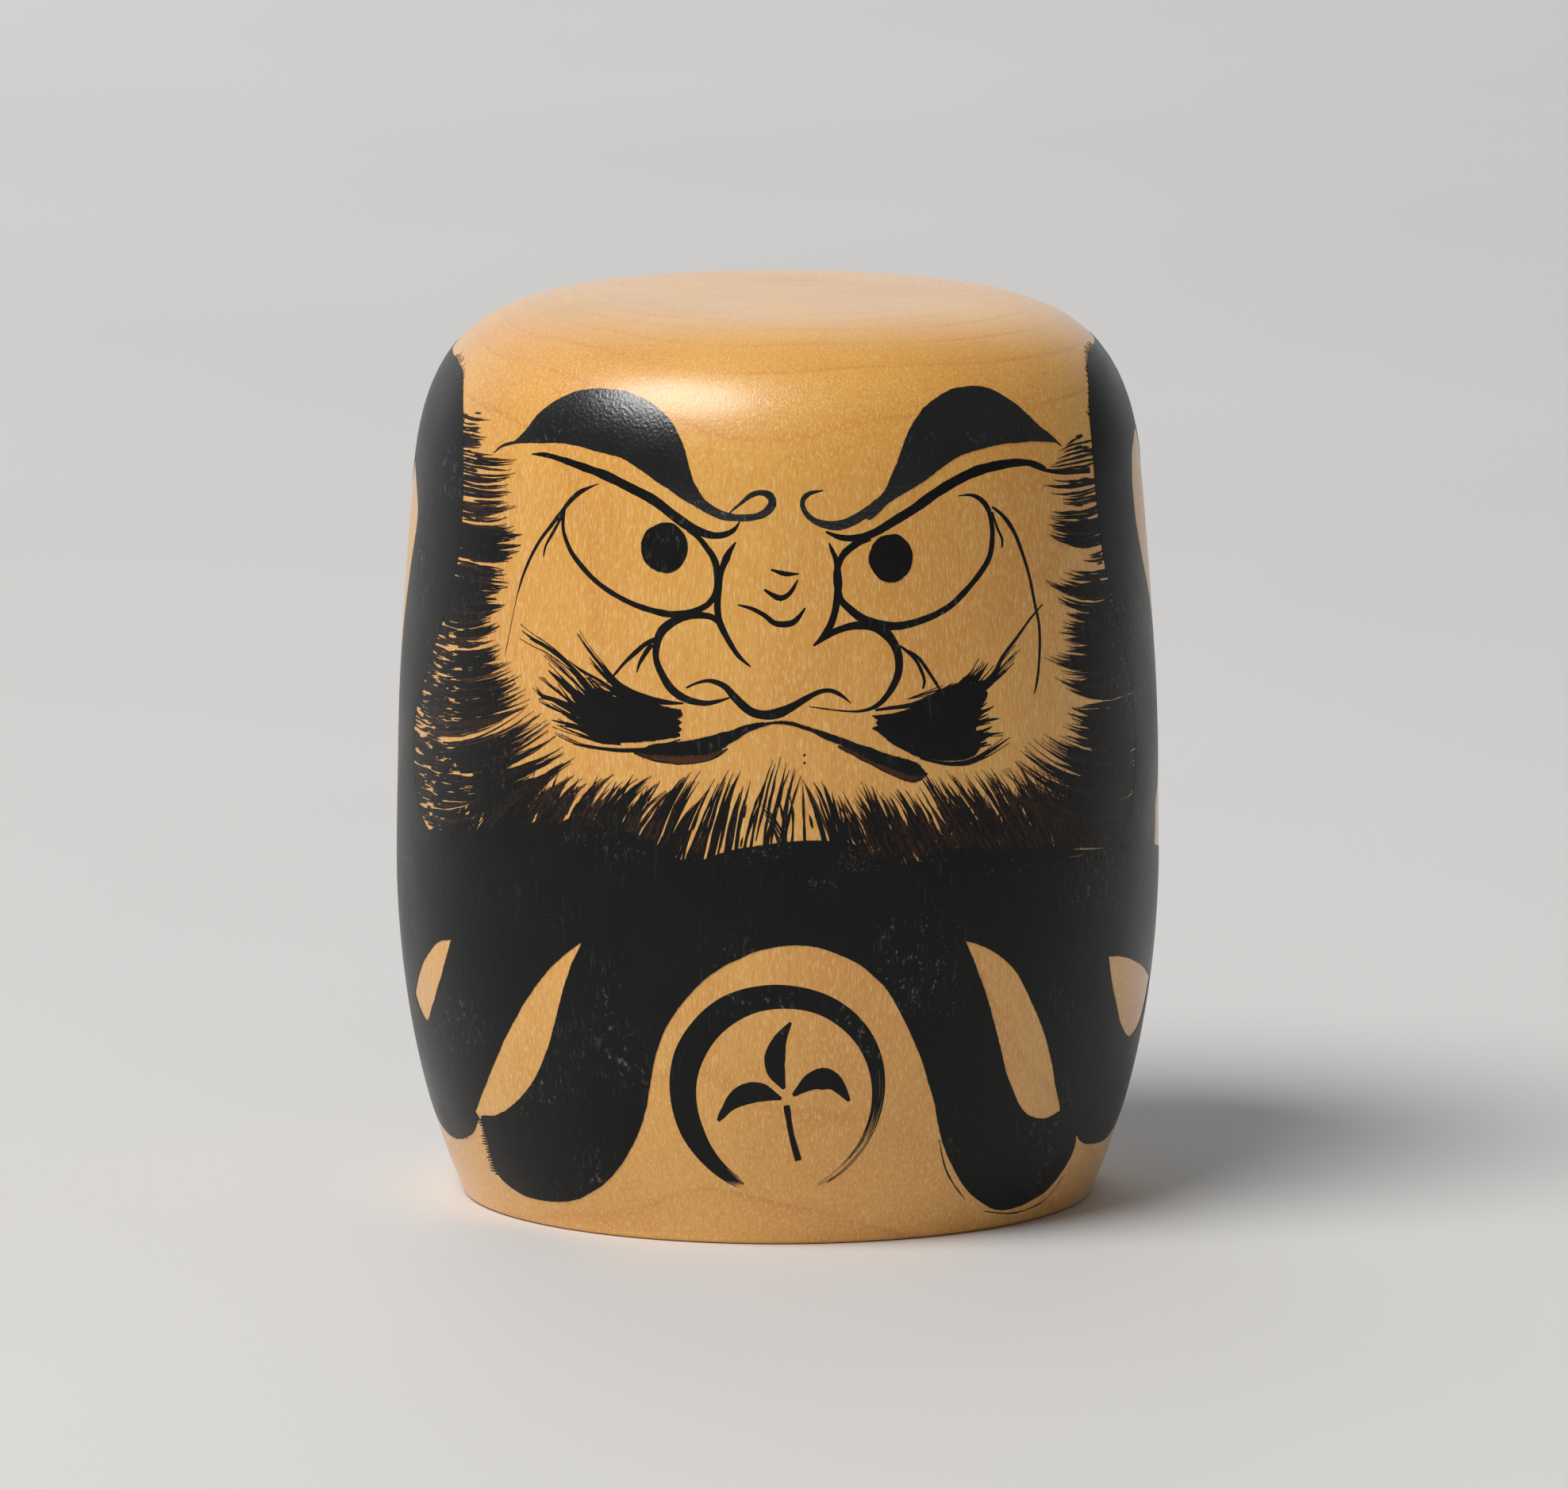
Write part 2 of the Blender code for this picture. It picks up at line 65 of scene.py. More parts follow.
# Bezier stretches of (radius, height) from the foot's edge to the top of the crown
TURNED_OUTLINE = [
    [(FOOT_RADIUS, FOOT_EDGE), (40.4, 7.5), (BELLY_RADIUS, 20.8), (BELLY_RADIUS, 41.2)],
    [(BELLY_RADIUS, 41.2), (BELLY_RADIUS, 53.9), (44.7, 65.8), (42.7, 87.0)],
    [(42.7, 87.0), (41.8, 96.2), (38.6, 102.1), (32.2, 104.7)],
    [(32.2, 104.7), (27.0, 106.8), (21.9, TOTAL_HEIGHT), (0.0, TOTAL_HEIGHT)],
]
EDGE_STEPS = 6
ROWS_PER_STRETCH = 56
TURNED_STEPS = 300


def bezier(handles, t):
    """Points on a cubic Bezier stretch."""
    a, b, c, d = np.array(handles, float)
    t = np.asarray(t)[:, None]
    return (1 - t) ** 3 * a + 3 * t * (1 - t) ** 2 * b + 3 * t * t * (1 - t) * c + t ** 3 * d


def turned_rows():
    """(radius, height) rows from the foot's rounded edge to the apex."""
    turn = np.linspace(-math.pi / 2, 0, EDGE_STEPS + 1)[:-1]
    rows = [np.stack([FOOT_RADIUS - FOOT_EDGE + FOOT_EDGE * np.cos(turn),
                      FOOT_EDGE + FOOT_EDGE * np.sin(turn)], axis=1)]
    steps = np.linspace(0, 1, ROWS_PER_STRETCH + 1)
    for handles in TURNED_OUTLINE:
        rows.append(bezier(handles, steps[:-1]))
    return np.concatenate(rows + [np.array([[0.0, TOTAL_HEIGHT]])])


ROWS = turned_rows()
LEVELS = ROWS[:, 1]
RADII = ROWS[:, 0]
RUN = np.gradient(ROWS, axis=0)
RUN_LENGTH = np.hypot(RUN[:, 0], RUN[:, 1])
OUTWARD = RUN[:, 1] / RUN_LENGTH
UPWARD = -RUN[:, 0] / RUN_LENGTH


def on_surface(azimuth, height, lift):
    """Points lifted off the turned surface, in metres, and the outward normals there."""
    azimuth, height, lift = (np.asarray(v, float) for v in (azimuth, height, lift))
    angle = np.radians(azimuth)
    out = np.interp(height, LEVELS, OUTWARD)
    up = np.interp(height, LEVELS, UPWARD)
    size = np.hypot(out, up)
    out, up = out / size, up / size
    reach = np.interp(height, LEVELS, RADII) + out * lift
    right, back = np.sin(angle), -np.cos(angle)
    points = np.stack([right * reach, back * reach, height + up * lift], axis=-1)
    normals = np.stack([right * out, back * out, up], axis=-1)
    return points * MM, normals


# ---------------------------------------------------------------- node materials

class Nodes:
    """A short way to write a node material."""

    def __init__(self, name):
        self.material = bpy.data.materials.new(name)
        self.material.use_nodes = True
        self.tree = self.material.node_tree
        self.shader = self.tree.nodes["Principled BSDF"]

    def link(self, value, socket):
        if isinstance(value, bpy.types.NodeSocket):
            self.tree.links.new(value, socket)
        else:
            socket.default_value = value

    def add(self, kind, **settings):
        node = self.tree.nodes.new(kind)
        for key, value in settings.items():
            setattr(node, key, value)
        return node

    def place(self):
        """Place on the object in millimetres."""
        scaled = self.add("ShaderNodeVectorMath", operation="SCALE")
        self.link(self.add("ShaderNodeTexCoord").outputs["Object"], scaled.inputs[0])
        scaled.inputs["Scale"].default_value = 1000.0
        return scaled.outputs[0]

    def stretched(self, place, scale):
        """The place scaled differently along each axis."""
        node = self.add("ShaderNodeVectorMath", operation="MULTIPLY")
        self.link(place, node.inputs[0])
        node.inputs[1].default_value = scale
        return node.outputs[0]

    def shifted(self, place, shift):
        """The place moved, so that a noise there differs from the same noise here."""
        node = self.add("ShaderNodeVectorMath", operation="ADD")
        self.link(place, node.inputs[0])
        node.inputs[1].default_value = shift
        return node.outputs[0]

    def noise(self, place, scale, detail=2.0, rough=0.5):
        node = self.add("ShaderNodeTexNoise")
        self.link(place, node.inputs["Vector"])
        node.inputs["Scale"].default_value = scale
        node.inputs["Detail"].default_value = detail
        node.inputs["Roughness"].default_value = rough
        return node.outputs["Fac"]

    def math(self, operation, a, b=0.0):
        node = self.add("ShaderNodeMath", operation=operation)
        self.link(a, node.inputs[0])
        self.link(b, node.inputs[1])
        return node.outputs[0]

    def ramp(self, value, stops):
        """Grey ramp through (position, grey) stops."""
        node = self.add("ShaderNodeValToRGB")
        self.link(value, node.inputs[0])
        elements = node.color_ramp.elements
        while len(elements) < len(stops):
            elements.new(0.5)
        for element, (position, grey) in zip(elements, stops):
            element.position = position
            element.color = (grey, grey, grey, 1.0)
        return node.outputs[0]

    def mix(self, share, first, second):
        node = self.add("ShaderNodeMix", data_type="RGBA")
        self.link(share, node.inputs["Factor"])
        self.link(first, node.inputs["A"])
        self.link(second, node.inputs["B"])
        return node.outputs["Result"]

    def bump(self, height, strength, distance):
        node = self.add("ShaderNodeBump")
        node.inputs["Strength"].default_value = strength
        node.inputs["Distance"].default_value = distance
        self.link(height, node.inputs["Height"])
        return node.outputs["Normal"]


PITH = (2.0, 13.0)            # where the heart of the log meets the crown, in millimetres
PITH_LEAN = (0.03, 0.02)      # how far the heart leans for each millimetre of height
RING_EASE = 0.35              # growth rings are wider towards the face
RING_SPACING = 2.7
RING_WANDER = 3.5             # how far a ring strays from a true circle
# how dark the wood is through one ring, from its pale early growth to its dark late growth
RING_SHADE = [(0.0, 0.3), (0.05, 0.0), (0.72, 0.05), (0.90, 0.35), (0.96, 1.0), (1.0, 0.3)]
HEART_REACH = 12.0
GOLD = (0.870, 0.450, 0.082, 1.0)
RUST = (0.710, 0.285, 0.040, 1.0)
PALE = (0.950, 0.620, 0.240, 1.0)
HEARTWOOD = (0.36, 0.16, 0.05, 1.0)


def growth_rings(n, place):
    """Distance from the heart of the log, in millimetres, stretched as its rings are."""
    parts = n.add("ShaderNodeSeparateXYZ")
    n.link(place, parts.inputs[0])
    x, y, z = parts.outputs
    drop = n.math("SUBTRACT", z, TOTAL_HEIGHT)
    dx, dy = (n.math("SUBTRACT", n.math("SUBTRACT", along, heart), n.math("MULTIPLY", drop, lean))
              for along, heart, lean in zip((x, y), PITH, PITH_LEAN))
    square = n.math("ADD", n.math("MULTIPLY", dx, dx), n.math("MULTIPLY", dy, dy))
    distance = n.math("ADD", n.math("SQRT", square), n.math("MULTIPLY", dy, RING_EASE))
    wander = n.noise(n.stretched(place, (1.0, 1.0, 0.25)), 0.035, 1.0)
    wander = n.math("MULTIPLY", n.math("SUBTRACT", wander, 0.5), RING_WANDER)
    return n.math("ADD", distance, wander)


def waxed_wood():
    """Pale close-grained wood, turned, waxed and yellowed."""
    n = Nodes("waxed_wood_fine")
    place = n.place()
    depth = growth_rings(n, place)
    phase = n.math("FRACT", n.math("DIVIDE", depth, RING_SPACING))
    late = n.ramp(phase, RING_SHADE)
    faint = n.noise(place, 0.08, 2.0)
    late = n.math("MULTIPLY", late, n.ramp(faint, [(0.35, 0.25), (0.65, 1.0)]))
    fibre = n.noise(n.stretched(place, (1.0, 1.0, 0.07)), 2.2, 3.0, 0.6)
    ray = n.noise(n.stretched(place, (1.0, 1.0, 0.16)), 5.6, 1.0, 0.4)
    ray = n.ramp(ray, [(0.53, 0.0), (0.64, 1.0)])
    cloud = n.noise(n.stretched(place, (1.0, 1.0, 0.4)), 0.06, 3.0)
    colour = n.mix(n.ramp(cloud, [(0.38, 0.0), (0.70, 0.55)]), GOLD, RUST)
    colour = n.mix(n.math("MULTIPLY", late, 0.95), colour, RUST)
    colour = n.mix(n.ramp(fibre, [(0.35, 0.45), (0.62, 0.0)]), colour, RUST)
    colour = n.mix(n.math("MULTIPLY", ray, 0.55), colour, PALE)
    heart = n.ramp(n.math("DIVIDE", depth, HEART_REACH), [(0.05, 0.22), (0.6, 0.0)])
    colour = n.mix(heart, colour, HEARTWOOD)
    n.link(colour, n.shader.inputs["Base Color"])
    worn = n.noise(place, 0.12, 3.0)
    n.link(n.ramp(worn, [(0.30, 0.38), (0.70, 0.48)]), n.shader.inputs["Roughness"])
    pore = n.noise(place, 2.4, 2.0, 0.6)
    grain = n.math("ADD", n.math("MULTIPLY", fibre, 0.5), n.math("MULTIPLY", ray, 0.3))
    grain = n.math("ADD", grain, n.math("MULTIPLY", pore, 0.6))
    n.link(n.bump(grain, 0.6, 0.00007), n.shader.inputs["Normal"])
    n.link(n.bump(grain, 0.5, 0.00005), n.shader.inputs["Coat Normal"])
    n.shader.inputs["Coat Weight"].default_value = 0.9
    n.shader.inputs["Coat Roughness"].default_value = 0.25
    return n.material


DENSITY = "ink_density"
WORN = -1.0                   # the density that marks a rubbed spot
THIN_INK = (0.080, 0.031, 0.013, 1.0)
FULL_INK = (0.0045, 0.0045, 0.0047, 1.0)
FADED_INK = (0.012, 0.0125, 0.0125, 1.0)
SCRATCHED_INK = (0.17, 0.17, 0.165, 1.0)
RUBBED_SPOT = (0.45, 0.31, 0.17, 1.0)
ANOTHER_PLACE = (31.0, 7.0, 3.0)


def brushed_ink(name, sheen, dull, pebble_size, pebbling):
    """Dried black ink: satin, a little pebbled, brown where it was brushed on thin."""
    n = Nodes(name)
    place = n.place()
    density = n.add("ShaderNodeAttribute", attribute_name=DENSITY).outputs["Fac"]
    soak = n.noise(n.stretched(place, (1.0, 1.0, 0.5)), 2.6, 3.0, 0.6)
    share = n.math("ADD", density, n.math("MULTIPLY", n.math("SUBTRACT", soak, 0.5), 0.9))
    full = n.ramp(share, [(0.20, 0.0), (0.68, 1.0)])
    colour = n.mix(full, THIN_INK, FULL_INK)
    cloud = n.noise(place, 0.10, 3.0)
    colour = n.mix(n.ramp(cloud, [(0.40, 0.0), (0.75, 0.35)]), colour, FADED_INK)
    speck = n.noise(n.stretched(place, (1.0, 1.0, 0.7)), 1.5, 2.0, 0.7)
    region = n.noise(n.shifted(place, ANOTHER_PLACE), 0.075, 1.0)
    scuff = n.math("MULTIPLY", n.ramp(speck, [(0.60, 0.0), (0.70, 1.0)]),
                   n.ramp(region, [(0.56, 0.0), (0.68, 1.0)]))
    scratch = n.noise(n.stretched(place, (1.0, 1.0, 0.10)), 2.6, 2.0, 0.7)
    scratch = n.math("MULTIPLY", n.ramp(scratch, [(0.60, 0.0), (0.72, 1.0)]),
                     n.ramp(region, [(0.40, 0.0), (0.62, 0.3)]))
    wear = n.math("MULTIPLY", n.math("MAXIMUM", scuff, scratch), 0.55)
    colour = n.mix(wear, colour, SCRATCHED_INK)
    colour = n.mix(n.math("LESS_THAN", density, WORN / 2), colour, RUBBED_SPOT)
    n.link(colour, n.shader.inputs["Base Color"])
    n.link(n.ramp(cloud, [(0.35, dull), (0.70, dull + 0.07)]), n.shader.inputs["Roughness"])
    pebble = n.noise(place, pebble_size, 2.0, 0.5)
    n.link(n.bump(pebble, pebbling, 0.00006), n.shader.inputs["Normal"])
    n.shader.inputs["Specular IOR Level"].default_value = sheen
    return n.material


WOOD = waxed_wood()
INK = brushed_ink("black_ink_fine", 0.20, 0.32, 1.5, 0.4)
THICK_INK = brushed_ink("black_ink_thick", 0.9, 0.22, 2.4, 0.8)


# ---------------------------------------------------------------- the wooden body

def link(name, mesh, material, nodes):
    """A piece that stands for CAD nodes and rides on the doll."""
    mesh.materials.append(material)
    piece = bpy.data.objects.new(name, mesh)
    bpy.context.scene.collection.objects.link(piece)
    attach(piece, "root")
    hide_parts(*nodes)


def turned_body():
    """The turned block: a flat foot, the turned side and the crown, closed at both ends."""
    foot = np.array([[radius, 0.0] for radius in FOOT_RINGS])
    rows = np.concatenate([foot, ROWS[:-1]])
    angles = np.radians(np.arange(TURNED_STEPS) * 360.0 / TURNED_STEPS)
    ring = np.stack([np.sin(angles), -np.cos(angles)], axis=1)
    points = np.concatenate([
        np.concatenate([ring * radius, np.full((TURNED_STEPS, 1), height)], axis=1)
        for radius, height in rows])
    bottom, top = len(points), len(points) + 1
    points = np.concatenate([points, [[0.0, 0.0, 0.0], [0.0, 0.0, TOTAL_HEIGHT]]]) * MM
    faces = []
    for row in range(len(rows) - 1):
        for i in range(TURNED_STEPS):
            j = (i + 1) % TURNED_STEPS
            a, b = row * TURNED_STEPS, (row + 1) * TURNED_STEPS
            faces.append((a + i, a + j, b + j, b + i))
    last = (len(rows) - 1) * TURNED_STEPS
    for i in range(TURNED_STEPS):
        j = (i + 1) % TURNED_STEPS
        faces.append((bottom, j, i))
        faces.append((top, last + i, last + j))
    mesh = bpy.data.meshes.new("turned_wood")
    mesh.from_pydata(points.tolist(), [], faces)
    mesh.shade_smooth()
    link("turned_wood", mesh, WOOD, ["wood_body"])


# ---------------------------------------------------------------- ink films

# How far ink stands off the wood, in millimetres; a pair is the least and the most
BASE_LIFT = 0.004
THIN_LIFT = 0.022
MARK_LIFT = (0.030, 0.047)
FILM_LIFT = 0.05
ROBE_LIFT = 0.065
HAIR_LIFT = (0.067, 0.078)     # the roots of the hair lie on top of the robe
SCUFF_LIFT = 0.070
BARE_LIFT = 0.082
GRID_AZIMUTH = 2.0            # a film is cut this often, in degrees, so that it bends round
GRID_HEIGHT = 1.5
EDGE_CHORD = 0.4
FINE_CHORD = 0.3
LINE_CHORD = 0.45
RAGGED = 0.03                 # how much wider a line gets here and there
THINNEST = 0.08


def smooth_path(points, chord):
    """Catmull-Rom curve through (azimuth, height) or (azimuth, height, width) points."""
    points = np.array(points, float)
    padded = np.concatenate([points[:1], points, points[-1:]])
    path = []
    for b, c, d, e in zip(padded, padded[1:], padded[2:], padded[3:]):
        reach = math.hypot((d[0] - c[0]) * SHEET, d[1] - c[1])
        pieces = max(1, round(reach / chord))
        t = (np.arange(pieces) / pieces)[:, None]
        path.append(0.5 * (2 * c + (d - b) * t + (2 * b - 5 * c + 4 * d - e) * t * t
                           + (3 * c - b - 3 * d + e) * t ** 3))
    return np.concatenate(path + [points[-1:]])


def sides(path):
    """Unit vectors to the left of a path, in sheet millimetres."""
    flat = path[:, :2] * (SHEET, 1.0)
    along = np.gradient(flat, axis=0)
    length = np.maximum(np.hypot(along[:, 0], along[:, 1]), 1e-6)
    return np.stack([-along[:, 1] / length, along[:, 0] / length], axis=1)


def between(first, second, share):
    """The place that lies this share of the way from the first to the second."""
    return [(1 - share) * p + share * q for p, q in zip(first, second)]


def drift(rng, count, reach):
    """Smooth random numbers of about unit size that change over about reach samples."""
    knots = max(4, int(count / max(reach, 1)) + 3)
    values = rng.normal(size=knots)
    return np.interp(np.linspace(0, knots - 1, count), np.arange(knots), values)


def brushed(points, rng, chord=EDGE_CHORD, wobble=0.04, fray=0.02):
    """A smooth edge as a brush leaves it: it wanders a little and is slightly frayed."""
    path = smooth_path(points, chord)
    shift = drift(rng, len(path), 4) * wobble + rng.normal(size=len(path)) * fray
    shift[0] = shift[-1] = 0.0
    path[:, :2] += sides(path) * shift[:, None] / (SHEET, 1.0)
    return path


class Film:
    """Closed thin pieces of dried ink, gathered into one mesh."""

    def __init__(self, seed, lifts=MARK_LIFT):
        self.rng = np.random.default_rng(seed)
        self.lifts = lifts
        self.points, self.normals, self.faces, self.density = [], [], [], []
        self.count = 0

    def _put(self, azimuth, height, lift, faces, density):
        points, normals = on_surface(azimuth, height, lift)
        self.points.append(points)
        self.normals.append(normals)
        self.density.append(np.broadcast_to(density, (len(points),)))
        self.faces += [tuple(corner + self.count for corner in face) for face in faces]
        self.count += len(points)

    def mark(self, path, density=1.0, lift=None):
        """One ridge of ink along an (azimuth, height, width) path."""
        path = np.asarray(path, float)
        count = len(path)
        lift = self.rng.uniform(*self.lifts) if lift is None else lift
        side = sides(path) * path[:, 2:3] / 2 / (SHEET, 1.0)
        left, middle, right = path[:, :2] + side, path[:, :2], path[:, :2] - side
        places = np.concatenate([left, middle, right])
        lifts = np.repeat([BASE_LIFT, lift, BASE_LIFT], count)
        faces = []
        for i in range(count - 1):
            j = i + 1
            faces.append((2 * count + i, 2 * count + j, count + j, count + i))
            faces.append((count + i, count + j, j, i))
            faces.append((i, j, 2 * count + j, 2 * count + i))
        faces.append((0, 2 * count, count))
        faces.append((3 * count - 1, count - 1, 2 * count - 1))
        share = np.broadcast_to(density, (count,))
        self._put(places[:, 0], places[:, 1], lifts, faces, np.tile(share, 3))

    def line(self, points, fray=0.05, density=1.0):
        """One brush line through (azimuth, height, width) points."""
        path = smooth_path(points, LINE_CHORD)
        count = len(path)
        path[:, 2] *= 1 + drift(self.rng, count, 3) * fray
        path[:, 2] += np.abs(self.rng.normal(size=count)) * RAGGED
        path[:, 2] = np.maximum(path[:, 2], THINNEST)
        self.mark(path, density)

    def area(self, outlines, lift=FILM_LIFT, density=1.0):
        """A filled patch: closed outlines, of which the inner ones are holes."""
        flat, faces = cut_sheet(outlines)
        count = len(flat)
        rims = {}
        for face in faces:
            for a, b in zip(face, face[1:] + face[:1]):
                rims[(a, b)] = None
        solid = list(faces)
        solid += [tuple(corner + count for corner in reversed(face)) for face in faces]
        for a, b in rims:
            if (b, a) not in rims:
                solid.append((b, a, a + count, b + count))
        places = np.concatenate([flat, flat])
        lifts = np.repeat([lift, BASE_LIFT], count)
        self._put(places[:, 0], places[:, 1], lifts, solid, density)

    def piece(self, name, *nodes, ink=INK):
        mesh = bpy.data.meshes.new(name)
        mesh.from_pydata(np.concatenate(self.points).tolist(), [], self.faces)
        mesh.shade_smooth()
        mesh.normals_split_custom_set_from_vertices(np.concatenate(self.normals).tolist())
        layer = mesh.attributes.new(DENSITY, "FLOAT", "POINT")
        layer.data.foreach_set("value", np.concatenate(self.density).astype(np.float32))
        link(name, mesh, ink, nodes)


def cut_sheet(outlines):
    """Fill closed outlines and cut the sheet along a grid, so that it can be wrapped round."""
    curve = bpy.data.curves.new("sheet", "CURVE")
    curve.dimensions = "2D"
    curve.fill_mode = "BOTH"
    for outline in outlines:
        spline = curve.splines.new("POLY")
        spline.points.add(len(outline) - 1)
        for point, place in zip(spline.points, outline):
            point.co = (place[0] * SHEET, place[1], 0.0, 1.0)
        spline.use_cyclic_u = True
    holder = bpy.data.objects.new("sheet", curve)
    bpy.context.scene.collection.objects.link(holder)
    evaluated = holder.evaluated_get(bpy.context.evaluated_depsgraph_get())
    mesh = bpy.data.meshes.new_from_object(evaluated)
    bpy.data.objects.remove(holder)
    bpy.data.curves.remove(curve)
    sheet = bmesh.new()
    sheet.from_mesh(mesh)
    bpy.data.meshes.remove(mesh)
    bmesh.ops.remove_doubles(sheet, verts=sheet.verts, dist=1e-4)
    places = np.array([place[:2] for outline in outlines for place in outline])
    for axis, step in ((0, GRID_AZIMUTH), (1, GRID_HEIGHT)):
        first = math.ceil(places[:, axis].min() / step)
        last = math.floor(places[:, axis].max() / step)
        for k in range(first, last + 1):
            place, normal = [0.0] * 3, [0.0] * 3
            place[axis] = k * step * (SHEET if axis == 0 else 1.0)
            normal[axis] = 1.0
            everything = sheet.verts[:] + sheet.edges[:] + sheet.faces[:]
            bmesh.ops.bisect_plane(sheet, geom=everything, dist=1e-6,
                                   plane_co=place, plane_no=normal)
    corners = np.array([(v.co.x / SHEET, v.co.y) for v in sheet.verts])
    where, keep, number = {}, [], []
    for azimuth, height in corners:
        key = (round((azimuth + 180.0) % 360.0, 3) % 360.0, round(height, 3))
        if key not in where:
            where[key] = len(keep)
            keep.append((azimuth, height))
        number.append(where[key])
    faces = []
    for face in sheet.faces:
        loop = [number[v.index] for v in face.verts]
        if face.normal.z < 0:
            loop.reverse()
        loop = [a for a, b in zip(loop, loop[1:] + loop[:1]) if a != b]
        if len(set(loop)) > 2:
            faces.append(tuple(loop))
    sheet.free()
    return np.array(keep), faces


# ---------------------------------------------------------------- robe and hood

HOOD_LEFT = [
    (-77.9, 100), (-69.7, 98.9), (-63.8, 95.6), (-61, 92.3), (-59.3, 88.7), (-58.5, 84.5), (-58.4, 80),
    (-61, 73), (-66.8, 64.9), (-71.5, 58.8), (-71.7, 53.1), (-68.4, 47.9), (-65.2, 45.9),
]
CHEST_EDGE = [
    (-65.2, 45.9), (-46.7, 47.8), (-34.9, 49.3), (-21.5, 49.1), (-13.5, 46.2), (-6.4, 47.7), (2.3, 48.7),
    (10.6, 48.4), (15.3, 46.1), (20.3, 45.5), (26.7, 47), (45, 45.6), (57.5, 44.6),
]
HOOD_RIGHT = [
    (57.5, 44.6), (64, 46), (68.6, 52), (68.9, 58), (67.8, 64.2), (65, 68.9), (62.7, 74.4), (61, 77.6),
    (60.1, 82.4), (59.9, 87.5), (60.8, 92.4), (63.1, 96), (68.5, 99.4), (75, 101),
]
HOOD_TOP = 101.3
FRONT_HEM = [
    (58.9, 10), (59.5, 8.4), (58.3, 6.2), (54.2, 3.6), (46.7, 2.3), (41, 2.7), (34.9, 5.1), (30.8, 8.2),
    (27.5, 12.1), (24.8, 17.8), (22.2, 22.8), (19.4, 27.1), (16.5, 30.9), (13, 33.6), (9.2, 35.3),
    (4, 36.5), (-1.2, 36.2), (-5.6, 35), (-10.1, 32.8), (-14, 29.8), (-17.3, 26), (-19.1, 22.3),
    (-20.9, 16.8), (-22.6, 13.6), (-25.3, 10.4), (-29.3, 7.3), (-34, 5.1), (-40.2, 3.6), (-48.9, 3.4),
    (-54.5, 4.5), (-56.7, 6.1), (-56.4, 8.9), (-56.8, 11.3), (-56.6, 12.6),
]
RIGHT_HEM = [(86, 12.3), (83, 10), (79, 8.4), (72.7, 7.7), (65.7, 8.1), (62, 8.7), (58.9, 10)]
LEFT_GAP_LOW = [
    (-56.6, 12.6), (-51.9, 13.3), (-47.5, 14.8), (-44, 16.6), (-40.7, 19.1), (-38.7, 21.4), (-36.8, 24.2),
    (-34.3, 29.2), (-32.7, 32.3), (-30.3, 35.9),
]
LEFT_GAP_HIGH = [
    (-30.3, 35.9), (-33.5, 34.1), (-37.4, 31.4), (-41.7, 27.7), (-46.2, 23.4), (-51.1, 18.7),
    (-55.2, 15.2), (-58.3, 12.9),
]
LEFT_SIDE_TOP = [(-75.8, 25.1), (-73.1, 27), (-67.5, 30.5), (-62.3, 32.9), (-58.3, 33.6)]
LEFT_SIDE_LOW = [
    (-58.3, 33.6), (-61.7, 29.5), (-65.8, 25.7), (-70.3, 22.6), (-73.5, 23.3), (-75.8, 25.1),
]
RIGHT_SIDE_TOP = [(60.1, 31.4), (66.1, 30.6), (73.9, 28.8), (84, 26)]
RIGHT_SIDE_LOW = [
    (84, 26), (80.5, 21.8), (73.8, 20.2), (67.8, 22.2), (63.6, 26), (61.3, 29), (60.1, 31.4),
]
RIGHT_GAP_LOW = [
    (52.1, 13.7), (48.1, 13.2), (43, 14.6), (38.6, 19), (35.7, 24.1), (32.8, 29.8), (29, 36.1),
]
RIGHT_GAP_HIGH = [
    (29, 36.1), (33.9, 34.5), (38.2, 31.8), (42.3, 27.2), (45.9, 22.7), (49.8, 16.7), (52.1, 13.7),
]
NEXT_GAP_TOP = [(58.3, 33.2), (66, 32), (75, 29.8), (84.4, 26)]
NEXT_GAP_LOW = [(84.4, 26), (81, 22.6), (75, 20.7), (70, 21.6), (65.5, 24.4), (61.6, 28.6), (58.3, 33.2)]
LEFT_LEAF_FRONT = [
    (-87, 38), (-84.1, 50.8), (-85.5, 60.5), (-84.3, 66.6), (-81.6, 71.6), (-80.1, 74.9), (-78.3, 78.3),
    (-77.3, 81.9), (-80.7, 85.1), (-87, 88),
]
LEFT_LEAF_BACK = [(-87, 88), (-97.5, 79), (-101.5, 68), (-101.5, 54), (-98.5, 38), (-87, 38)]
RIGHT_LEAF_FRONT = [
    (88, 91.5), (82.1, 90.7), (77.8, 89.2), (76.2, 87.1), (75.6, 85), (76.1, 80.5), (79, 75.8),
    (82.7, 71.8), (86.5, 66), (88.8, 58), (86, 51), (81.4, 47.5), (80.7, 45.3), (79.9, 42.4),
]
RIGHT_LEAF_BACK = [(79.9, 42.4), (90, 41), (98.5, 42), (101.5, 54), (101.5, 68), (97.5, 80), (88, 91.5)]
HEM_NOTCHES = [57.3, 86.0, 117.0, 148.5, 180.0]
NOTCH_HEIGHT = 12.3
LOBE_DROP = 4.0
BACK_GAP_SHIFTS = [31.0, 62.5]
# thin lines that the brush's outer hairs left beside the robe
ROBE_STRAYS = [
    [(26.9, 12.3, 0.1), (28.7, 8.9, 0.2), (31.1, 6.5, 0.2), (34.1, 4.4, 0.1)],
    [(39.1, 2.5, 0.1), (47.2, 1.6, 0.18), (55.1, 2.4, 0.15), (58.8, 4.9, 0.1)],
    [(-64, 8.9, 0.1), (-66.5, 10.5, 0.25), (-71, 13, 0.2), (-75, 16, 0.1)],
]


